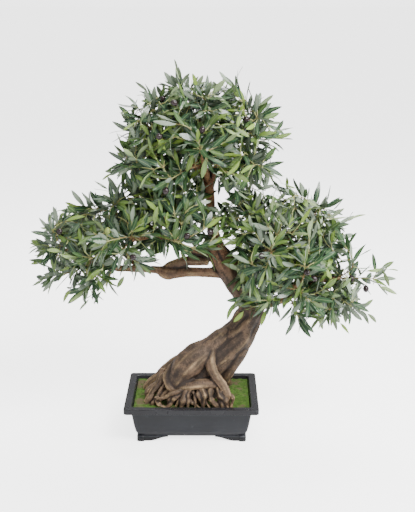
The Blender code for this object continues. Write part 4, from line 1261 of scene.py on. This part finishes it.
def build_shoots(name, shoots):
    """All of a pad's twigs and shoots as tapering six-sided tubes."""
    heap = Heap()
    for points, thick, thin, age in shoots:
        points = np.array([tuple(point) for point in points])
        share = np.linspace(0, 1, len(points))
        shell = tube_points(points, thick + (thin - thick) * share, 6)
        young = np.repeat(np.clip(age + (share - 0.4) * 0.6, 0, 1), 6)
        heap.add(shell, *capped_faces(len(points), 6), young=with_poles(young))
    return heap.build(name, shoot_material())


def nearest_on(route, spot):
    """The point of a twig, past its bare stretch, that is nearest to a spot."""
    found = []
    for start, end in zip(route[2:], route[3:]):
        span = end - start
        share = min(0.95, max(0.05, (spot - start).dot(span) / span.length_squared))
        found.append(start + span * share)
    return min(found, key=lambda place: (spot - place).length)


def hung_olives(spots, routes):
    """Where each olive's stalk leaves its twig, and the way from there to the olive's middle."""
    found = []
    for spot in spots:
        root = min((nearest_on(route, spot) for route in routes), key=lambda place: (spot - place).length)
        way = spot - root
        if way.length > OLIVE_HANG:
            way *= OLIVE_HANG / way.length
        if way.length < OLIVE_CLEARANCE:
            way = Vector((way.x, way.y - 0.008, -0.013))
        found.append((root, way))
    return found


def hides(leaf, olives):
    """Whether a leaf hangs close before one of the olives, seen from the front."""
    place, along, _, length, *_ = leaf
    for root, way in olives:
        for share in (0.3, 0.6, 0.9):
            gap = place + along * length * share - (root + way)
            ahead = -gap.y
            if -0.004 < ahead < 0.09 and math.hypot(gap.x, gap.z - 0.30 * ahead) < OLIVE_VIEW:
                return True
    return False


def build_olives(name, olives, values):
    """Olives as spindles of revolution on short stalks: radius = W/2 * sin(pi s)^0.62 along their length."""
    heap = Heap()
    draw = random.Random(f"{name} {SEED}")
    for root, way in olives:
        pointing = way.normalized()
        share = np.linspace(0.0, 1.0, 14)[1:-1]
        axis = np.array([tuple(root + way + pointing * OLIVE_LENGTH * (s - 0.5)) for s in share])
        radii = 0.5 * OLIVE_WIDTH * np.sin(np.pi * share) ** 0.62
        ripe = draw.choice((0.2, 0.75, 0.9, 1.0, 1.0))
        heap.add(tube_points(axis, radii, 14), *capped_faces(len(axis), 14), ripe=ripe)
        rise = [(t, Vector((0, 0, 0.002 * math.sin(math.pi * t)))) for t in np.linspace(0, 0.75, 6)]
        stalk = np.array([tuple(root + way * t + lift) for t, lift in rise])
        heap.add(tube_points(stalk, np.full(6, 0.0008), 6), *capped_faces(6, 6), ripe=0.0)
    return heap.build(name, olive_material(values))


# Pot, moss and stage

def rounded_rectangle(half_x, half_y, radius, steps):
    """Points round a rectangle whose corners are arcs of the radius, with steps spans to a corner."""
    turns = np.radians(90.0) * (np.arange(4)[:, None] + np.arange(steps + 1)[None] / steps)
    side_x = np.array([1, -1, -1, 1])[:, None]
    side_y = np.array([1, 1, -1, -1])[:, None]
    x = side_x * (half_x - radius) + radius * np.cos(turns)
    y = side_y * (half_y - radius) + radius * np.sin(turns)
    return np.stack([x, y], -1).reshape(-1, 2)


def softened(profile, radius, steps=4):
    """A profile whose corners are cut by quadratic curves that start up to radius away from each corner."""
    profile = np.array(profile, float)
    out = [profile[0]]
    for before, corner, after in zip(profile, profile[1:], profile[2:]):
        reach = [min(radius, 0.45 * np.linalg.norm(other - corner)) for other in (before, after)]
        start = corner + unit(before - corner) * reach[0]
        end = corner + unit(after - corner) * reach[1]
        for t in np.linspace(0, 1, steps + 1):
            out.append((1 - t) ** 2 * start + 2 * t * (1 - t) * corner + t * t * end)
    out.append(profile[-1])
    return np.array(out)


def pot_material(values):
    """Moulded slate-grey shell: satin, slightly mottled, with faint scuffs, a pitted grain, painted shade on
    its feet and a painted reflection on its rim.
    """
    paint = Paint("pot_finish")
    place = paint.place()
    cloud = paint.noise(place, 16.0, 3.0, 0.5)
    grain = paint.noise(place, 900.0, 2.0, 0.5)
    scuff = paint.ramp(paint.noise(place, 60.0, 5.0, 0.75), 0.60, 0.74)
    dull, bright = [c * 0.82 for c in values.shell], [c * 1.15 for c in values.shell]
    colour = paint.mix(paint.ramp(cloud, 0.3, 0.7), dull, bright)
    colour = paint.mix(scuff * 0.18, colour, [0.14, 0.14, 0.15])
    height = paint.node("ShaderNodeSeparateXYZ", None, {"Vector": place}, output=2)
    # Painted shade, partly the feet's own black: the feet under the pot are painted near-black, and made
    # glossier
    shaded_feet = paint.ramp(height, FLOOR_UNDERSIDE + 0.003, FLOOR_UNDERSIDE - 0.001)
    colour = paint.mix(shaded_feet * 0.85, colour, [0.004, 0.004, 0.005])
    # Painted reflection: the rim is painted darker, standing in for the dark reflection on its glossy face,
    # and made glossier
    rim = paint.ramp(height, POT_HEIGHT - RIM_THICKNESS - 0.0010, POT_HEIGHT - RIM_THICKNESS + 0.0010)
    colour = paint.mix(rim * 0.35, colour, [0.012, 0.010, 0.009])
    paint.bump(grain, 0.0002, 0.35)
    rough = 0.30 + cloud * 0.12 + scuff * 0.15 - shaded_feet * 0.2 - rim * 0.10
    return paint.finish(Base_Color=colour, Roughness=rough, Specular_IOR_Level=0.35)


def build_pot(values):
    """The shell: a profile of (inset, height) carried round rounded rectangles, and eight bracket legs."""
    rim_bottom = POT_HEIGHT - RIM_THICKNESS
    swelling = ((0.0, 0.0), (0.008, 0.006), (0.014, 0.018), (0.018, 0.036))
    outside = (
        (0.085, FLOOR_UNDERSIDE),
        *[(BODY_FOOT_INSET - out, FLOOR_UNDERSIDE + up) for out, up in swelling],
        (BODY_TOP_INSET + 0.0015, rim_bottom - 0.007), (BODY_TOP_INSET, rim_bottom - 0.006),
        (BODY_TOP_INSET, rim_bottom), (0.0, rim_bottom), (0.0, POT_HEIGHT), (RIM_REACH, POT_HEIGHT),
        (RIM_REACH + 0.020, FLOOR_TOP), (0.085, FLOOR_TOP),
    )
    profile = softened(outside, values.edge)
    rings = []
    for inset, height in profile:
        radius = 0.004 + 0.004 * (1 - min(1.0, inset / 0.05))
        flat = rounded_rectangle(POT_LENGTH / 2 - inset, POT_WIDTH / 2 - inset, radius, 6)
        rings.append(np.column_stack([flat, np.full(len(flat), height)]))
    heap = Heap()
    shell = np.vstack([(0.0, 0.0, FLOOR_UNDERSIDE), *rings, (0.0, 0.0, FLOOR_TOP)])
    heap.add(shell, *capped_faces(len(rings), len(rings[0])))
    for side_x, side_y, turned in itertools.product((-1, 1), (-1, 1), (False, True)):
        add_foot(heap, side_x, side_y, turned)
    return heap.build("pot_shell", pot_material(values))


def add_foot(heap, side_x, side_y, turned):
    """A bracket leg: rounded rectangles carried in from the corner. Its underside curls up by a cosine."""
    length = FOOT_SIDE_LENGTH if turned else FOOT_LENGTH
    s = np.linspace(0.0, 1.0, 18)
    curl = np.maximum(s - FOOT_FLAT_SHARE, 0.0) / (1 - FOOT_FLAT_SHARE)
    lift = (FLOOR_UNDERSIDE + 0.001) * 0.5 * (1 - np.cos(np.pi * curl))
    lean = 0.0025 * np.exp(-s * 14)
    rings = []
    for share, low, out in zip(s, lift, lean):
        high = FLOOR_TOP - 0.003
        half_height = max(0.0012, (high - low) / 2)
        flat = rounded_rectangle(FOOT_DEPTH / 2, half_height, min(0.0016, half_height * 0.8), 3)
        level = [np.full(len(flat), share * length - out), flat[:, 0] + FOOT_DEPTH / 2]
        rings.append(np.column_stack([*(level[::-1] if turned else level), flat[:, 1] + (high + low) / 2]))
    points = np.vstack([rings[0].mean(0), np.vstack(rings), rings[-1].mean(0)])
    points[:, 2] = np.maximum(points[:, 2], 0.0)
    corner = np.array([POT_LENGTH / 2 - FOOT_INSET, POT_WIDTH / 2 - FOOT_INSET, 0.0])
    signs = np.array([-side_x, -side_y, 1.0])
    points = points * signs + corner * np.array([side_x, side_y, 1.0])
    quads, triangles = capped_faces(len(rings), len(rings[0]))
    inward = (side_x * side_y > 0) != turned
    if not inward:
        quads, triangles = quads[:, ::-1], triangles[:, ::-1]
    heap.add(points, quads, triangles)


def moss_material(values):
    """Moss: bright green with painted shade in its depths, and brown patches where it is worn."""
    paint = Paint("moss_finish")
    place = paint.place()
    patch = paint.noise(place, 17.0, 4.0, 0.62)
    fine = paint.noise(place, 420.0, 3.0, 0.7)
    tuft = paint.noise(place, 120.0, 3.0, 0.6)
    lift = paint.attribute("lift")
    # Painted shade: the moss is darker where the tuft noise is low, where its bump also sinks
    green = paint.mix(paint.ramp(tuft, 0.3, 0.7), [c * 0.45 for c in values.green], values.green)
    bright = [values.green[0] * 2.2, values.green[1] * 1.6, 0.04]
    green = paint.mix(paint.ramp(fine, 0.45, 0.8) * 0.6, green, bright)
    soil = paint.mix(fine, [c * 0.4 for c in values.worn], [c * 1.7 for c in values.worn])
    bare = paint.ramp(patch + tuft * 0.25 - lift * 0.22, 0.50, 0.62)
    colour = paint.mix(bare, green, soil)
    paint.bump(tuft + fine * 0.6, 0.0020, 0.9)
    return paint.finish(Base_Color=colour, Roughness=0.93, Specular_IOR_Level=0.2)


def build_moss(values):
    """The mat: a slab whose top is lifted by layered noise, and spikes that stand on it."""
    low, high = np.array(MAT_LOW), np.array(MAT_HIGH)
    columns, rows = MOSS_GRID
    x, y = (np.linspace(low[k], high[k], MOSS_GRID[k]) for k in (0, 1))
    x, y = np.meshgrid(x, y, indexing="ij")

    def lifted(x, y):
        flat = np.stack([x, y, np.zeros_like(x)], -1)
        return high[2] + 0.0007 + 0.0013 * layered_noise(flat * 55, 4, 3)

    top = np.stack([x, y, lifted(x, y)], -1)
    bottom = np.stack([x, y, np.full_like(x, low[2])], -1)
    points = np.concatenate([top.reshape(-1, 3), bottom.reshape(-1, 3)])
    index = np.arange(columns * rows).reshape(columns, rows)
    a, b, c, d = index[:-1, :-1], index[1:, :-1], index[1:, 1:], index[:-1, 1:]
    upper = np.stack([a, b, c, d], -1).reshape(-1, 4)
    under = upper[:, ::-1] + columns * rows
    edge = np.concatenate([index[:, 0], index[-1, 1:], index[-2::-1, -1], index[0, -2:0:-1]])
    following = np.roll(edge, -1)
    wall = np.stack([following, edge, edge + columns * rows, following + columns * rows], -1)
    draw = np.random.default_rng(SEED)
    spots = draw.uniform(low[:2] + 0.0015, high[:2] - 0.0015, (values.tufts, 2))
    base = np.column_stack([spots, lifted(spots[:, 0], spots[:, 1]) - 0.0006])
    tall = draw.uniform(0.0012, 0.0030, values.tufts)
    lean = draw.normal(0, 0.0008, (values.tufts, 2))
    turn = draw.uniform(0, math.tau, values.tufts)
    angles = [turn + third for third in (0, 2.1, 4.2)]
    corners = [base + TUFT_RADIUS * np.column_stack([np.cos(a), np.sin(a), 0 * a]) for a in angles]
    tips = base + np.column_stack([lean, tall])
    spikes = np.stack([*corners, tips], 1).reshape(-1, 3)
    start = len(points) + 4 * np.arange(values.tufts)[:, None, None]
    shape = np.array([[0, 1, 3], [1, 2, 3], [2, 0, 3], [2, 1, 0]])
    spike_faces = (shape[None] + start).reshape(-1, 3)
    lift = np.concatenate([(points[:, 2] - high[2]) / 0.002, np.ones(len(spikes)) * 0.9])
    faces = [np.vstack([upper, under, wall]), spike_faces]
    attributes = {"lift": np.clip(lift, 0, 1)}
    return mesh_object("moss", np.vstack([points, spikes]), faces, moss_material(values), attributes)


def filler_material():
    """Set potting mix: brown crumbs with grit."""
    paint = Paint("filler_finish")
    place = paint.place()
    crumb = paint.noise(place, 240.0, 4.0, 0.7)
    grit = paint.ramp(paint.noise(place, 600.0, 2.0, 0.5), 0.62, 0.70)
    colour = paint.mix(crumb, [0.05, 0.035, 0.02], [0.22, 0.16, 0.10])
    colour = paint.mix(grit * 0.6, colour, [0.42, 0.38, 0.32])
    paint.bump(crumb + grit, 0.001, 0.8)
    return paint.finish(Base_Color=colour, Roughness=0.95)


def paper_material(values):
    """White paper with the faintest mottling. Its glow is for the camera alone, so it lights nothing."""
    paint = Paint("paper_finish")
    cloud = paint.noise(paint.place(), 3.0, 2.0, 0.5)
    colour = paint.mix(cloud * 0.1, values.paper, [c * 0.95 for c in values.paper])
    seen = paint.mix(paint.node("ShaderNodeLightPath"), [0.0, 0.0, 0.0], colour)
    return paint.finish(
        Base_Color=colour, Roughness=0.8, Specular_IOR_Level=0.2, Emission_Color=seen,
        Emission_Strength=values.glow,
    )


def build_stage(values):
    """A floor that runs on past what any view shows."""
    points = FLOOR_REACH * np.array([[-1.0, -1.0, 0.0], [1.0, -1.0, 0.0], [1.0, 1.0, 0.0], [-1.0, 1.0, 0.0]])
    made = mesh_object("paper", points, [np.array([[0, 1, 2, 3]])], paper_material(values))
    return made


def light_world(light, seen):
    """Even white light from all round, and a paler white where the camera sees past the floor."""
    world = bpy.data.worlds.new("studio")
    world.use_nodes = True
    tree = world.node_tree
    background = tree.nodes["Background"]
    background.inputs["Color"].default_value = (1.0, 1.0, 1.0, 1.0)
    path = tree.nodes.new("ShaderNodeLightPath")
    strength = tree.nodes.new("ShaderNodeMath")
    strength.operation = "MULTIPLY_ADD"
    tree.links.new(path.outputs["Is Camera Ray"], strength.inputs[0])
    strength.inputs[1].default_value = seen - light
    strength.inputs[2].default_value = light
    tree.links.new(strength.outputs[0], background.inputs["Strength"])
    return world


def add_light(name, place, size, power):
    """A rectangle of soft light that faces the middle of the tree."""
    light = bpy.data.lights.new(name, "AREA")
    light.shape = "RECTANGLE"
    light.size, light.size_y = size
    light.energy = power
    made = bpy.data.objects.new(name, light)
    made.location = place
    made.rotation_euler = (LIGHT_TARGET - Vector(place)).to_track_quat("-Z", "Y").to_euler()
    bpy.context.scene.collection.objects.link(made)


def ridden(piece, slot, *nodes):
    """The piece rides on the tree's one body and stands for the nodes. The slot is not used."""
    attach(piece, "root")
    if nodes:
        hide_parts(*nodes)


class BONSAI_OT_camera(bpy.types.Operator):
    """Set the camera where the photograph was taken from"""

    bl_idname = "bonsai.camera"
    bl_label = "Camera"

    def execute(self, context):
        data = bpy.data.cameras.new("camera")
        data.lens = CAMERA_LENS
        data.sensor_width = CAMERA_SENSOR
        made = bpy.data.objects.new("camera", data)
        context.scene.collection.objects.link(made)
        made.location = CAMERA_PLACE + MIDDLE
        way = Vector((
            math.sin(CAMERA_YAW) * math.cos(CAMERA_PITCH),
            math.cos(CAMERA_YAW) * math.cos(CAMERA_PITCH),
            math.sin(CAMERA_PITCH),
        ))
        made.rotation_euler = way.to_track_quat("-Z", "Y").to_euler()
        context.scene.camera = made
        return {"FINISHED"}


class BONSAI_OT_stage(bpy.types.Operator):
    """Lay the white paper and hang the soft lights"""

    bl_idname = "bonsai.stage"
    bl_label = "Stage"

    def execute(self, context):
        values = settings("stage")
        build_stage(values)
        for name, (place, size, share) in LIGHTS.items():
            add_light(name, place, size, values.key * share)
        context.scene.world = light_world(WORLD_LIGHT, WORLD_SEEN)
        return {"FINISHED"}


class BONSAI_OT_wood(bpy.types.Operator):
    """Fuse the strands of the trunk, roots and limbs, and furrow the bark"""

    bl_idname = "bonsai.wood"
    bl_label = "Wood"

    def execute(self, context):
        values = settings("wood")
        bark = bark_material(values)
        fine = fine_strands()
        ridden(build_wood("wood", wood_strands(), values.voxel, values, bark, fine), "bark", "trunk")
        ridden(build_wood("fine_roots", fine, values.fine_voxel, values, bark), "bark", "trunk")
        return {"FINISHED"}


class BONSAI_OT_foliage(bpy.types.Operator):
    """Grow the leaves, shoots and olives of the three pads"""

    bl_idname = "bonsai.foliage"
    bl_label = "Foliage"

    def execute(self, context):
        values = settings("leaf")
        for turn, pad in enumerate(SPRAY_TIPS):
            shoots, leaves, extra, twigs = grow_pad(pad, values)
            nodes = [f"spray_{pad}_{number + 1:02d}" for number in range(len(SPRAY_TIPS[pad]))]
            draw = np.random.default_rng(SEED + turn)
            routes = [points for points, *_ in shoots]
            olives = hung_olives(spots_in(pad, OLIVE_SPOTS), twigs)
            olives += hung_olives(spots_in(pad, MORE_OLIVE_SPOTS), routes)
            seen = olives + [(Vector(spot), Vector()) for spot in LIMB_VIEWS]
            leaves += [leaf for leaf in extra if not hides(leaf, seen)]
            ridden(build_leaves(f"leaves_{pad}", leaves, values, draw), "foliage", *nodes)
            ridden(build_shoots(f"shoots_{pad}", shoots), "foliage")
            ridden(build_olives(f"olives_{pad}", olives, values), "foliage")
        return {"FINISHED"}


def spots_in(wanted, spots):
    """The spots whose nearest spray tip is one of the wanted pad's."""
    def nearness(pad, spot):
        return min((Vector(tip) - spot).length for tip in SPRAY_TIPS[pad])

    spots = [Vector(spot) for spot in spots]
    return [spot for spot in spots if min(SPRAY_TIPS, key=lambda pad: nearness(pad, spot)) == wanted]


class BONSAI_OT_pot(bpy.types.Operator):
    """Mould the pot's shell and feet"""

    bl_idname = "bonsai.pot"
    bl_label = "Pot"

    def execute(self, context):
        ridden(build_pot(settings("pot")), "pot", "pot")
        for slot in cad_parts["filler_block"].material_slots:
            slot.material = filler_material()
        return {"FINISHED"}


class BONSAI_OT_moss(bpy.types.Operator):
    """Lay the moss round the roots"""

    bl_idname = "bonsai.moss"
    bl_label = "Moss"

    def execute(self, context):
        ridden(build_moss(settings("moss")), "moss", "moss_mat")
        return {"FINISHED"}


class BONSAI_PT_panel(bpy.types.Panel):
    """Lists the steps that dress the bonsai"""

    bl_idname = "BONSAI_PT_panel"
    bl_label = "Olive bonsai"
    bl_space_type = "VIEW_3D"
    bl_region_type = "UI"
    bl_category = "Bonsai"

    def draw(self, context):
        for name, operators in STEPS.items():
            box = self.layout.box()
            for operator in operators:
                box.operator(operator)
            group = settings(name)
            for key in group.__annotations__:
                box.prop(group, key)


GROUPS = {
    "stage": StageSettings, "pot": PotSettings, "moss": MossSettings, "wood": WoodSettings,
    "leaf": LeafSettings,
}
STEPS = {
    "stage": ("bonsai.camera", "bonsai.stage"), "pot": ("bonsai.pot",), "moss": ("bonsai.moss",),
    "wood": ("bonsai.wood",), "leaf": ("bonsai.foliage",),
}
CLASSES = (
    *GROUPS.values(), BONSAI_OT_camera, BONSAI_OT_stage, BONSAI_OT_pot, BONSAI_OT_moss, BONSAI_OT_wood,
    BONSAI_OT_foliage, BONSAI_PT_panel,
)


def register():
    for item in CLASSES:
        bpy.utils.register_class(item)
    for name, group in GROUPS.items():
        setattr(bpy.types.Scene, "bonsai_" + name, bpy.props.PointerProperty(type=group))


def unregister():
    for name in GROUPS:
        delattr(bpy.types.Scene, "bonsai_" + name)
    for item in reversed(CLASSES):
        bpy.utils.unregister_class(item)


def main():
    register()
    for operators in STEPS.values():
        for name in operators:
            group, step = name.split(".")
            getattr(getattr(bpy.ops, group), step)()


if __name__ == "__main__":
    main()
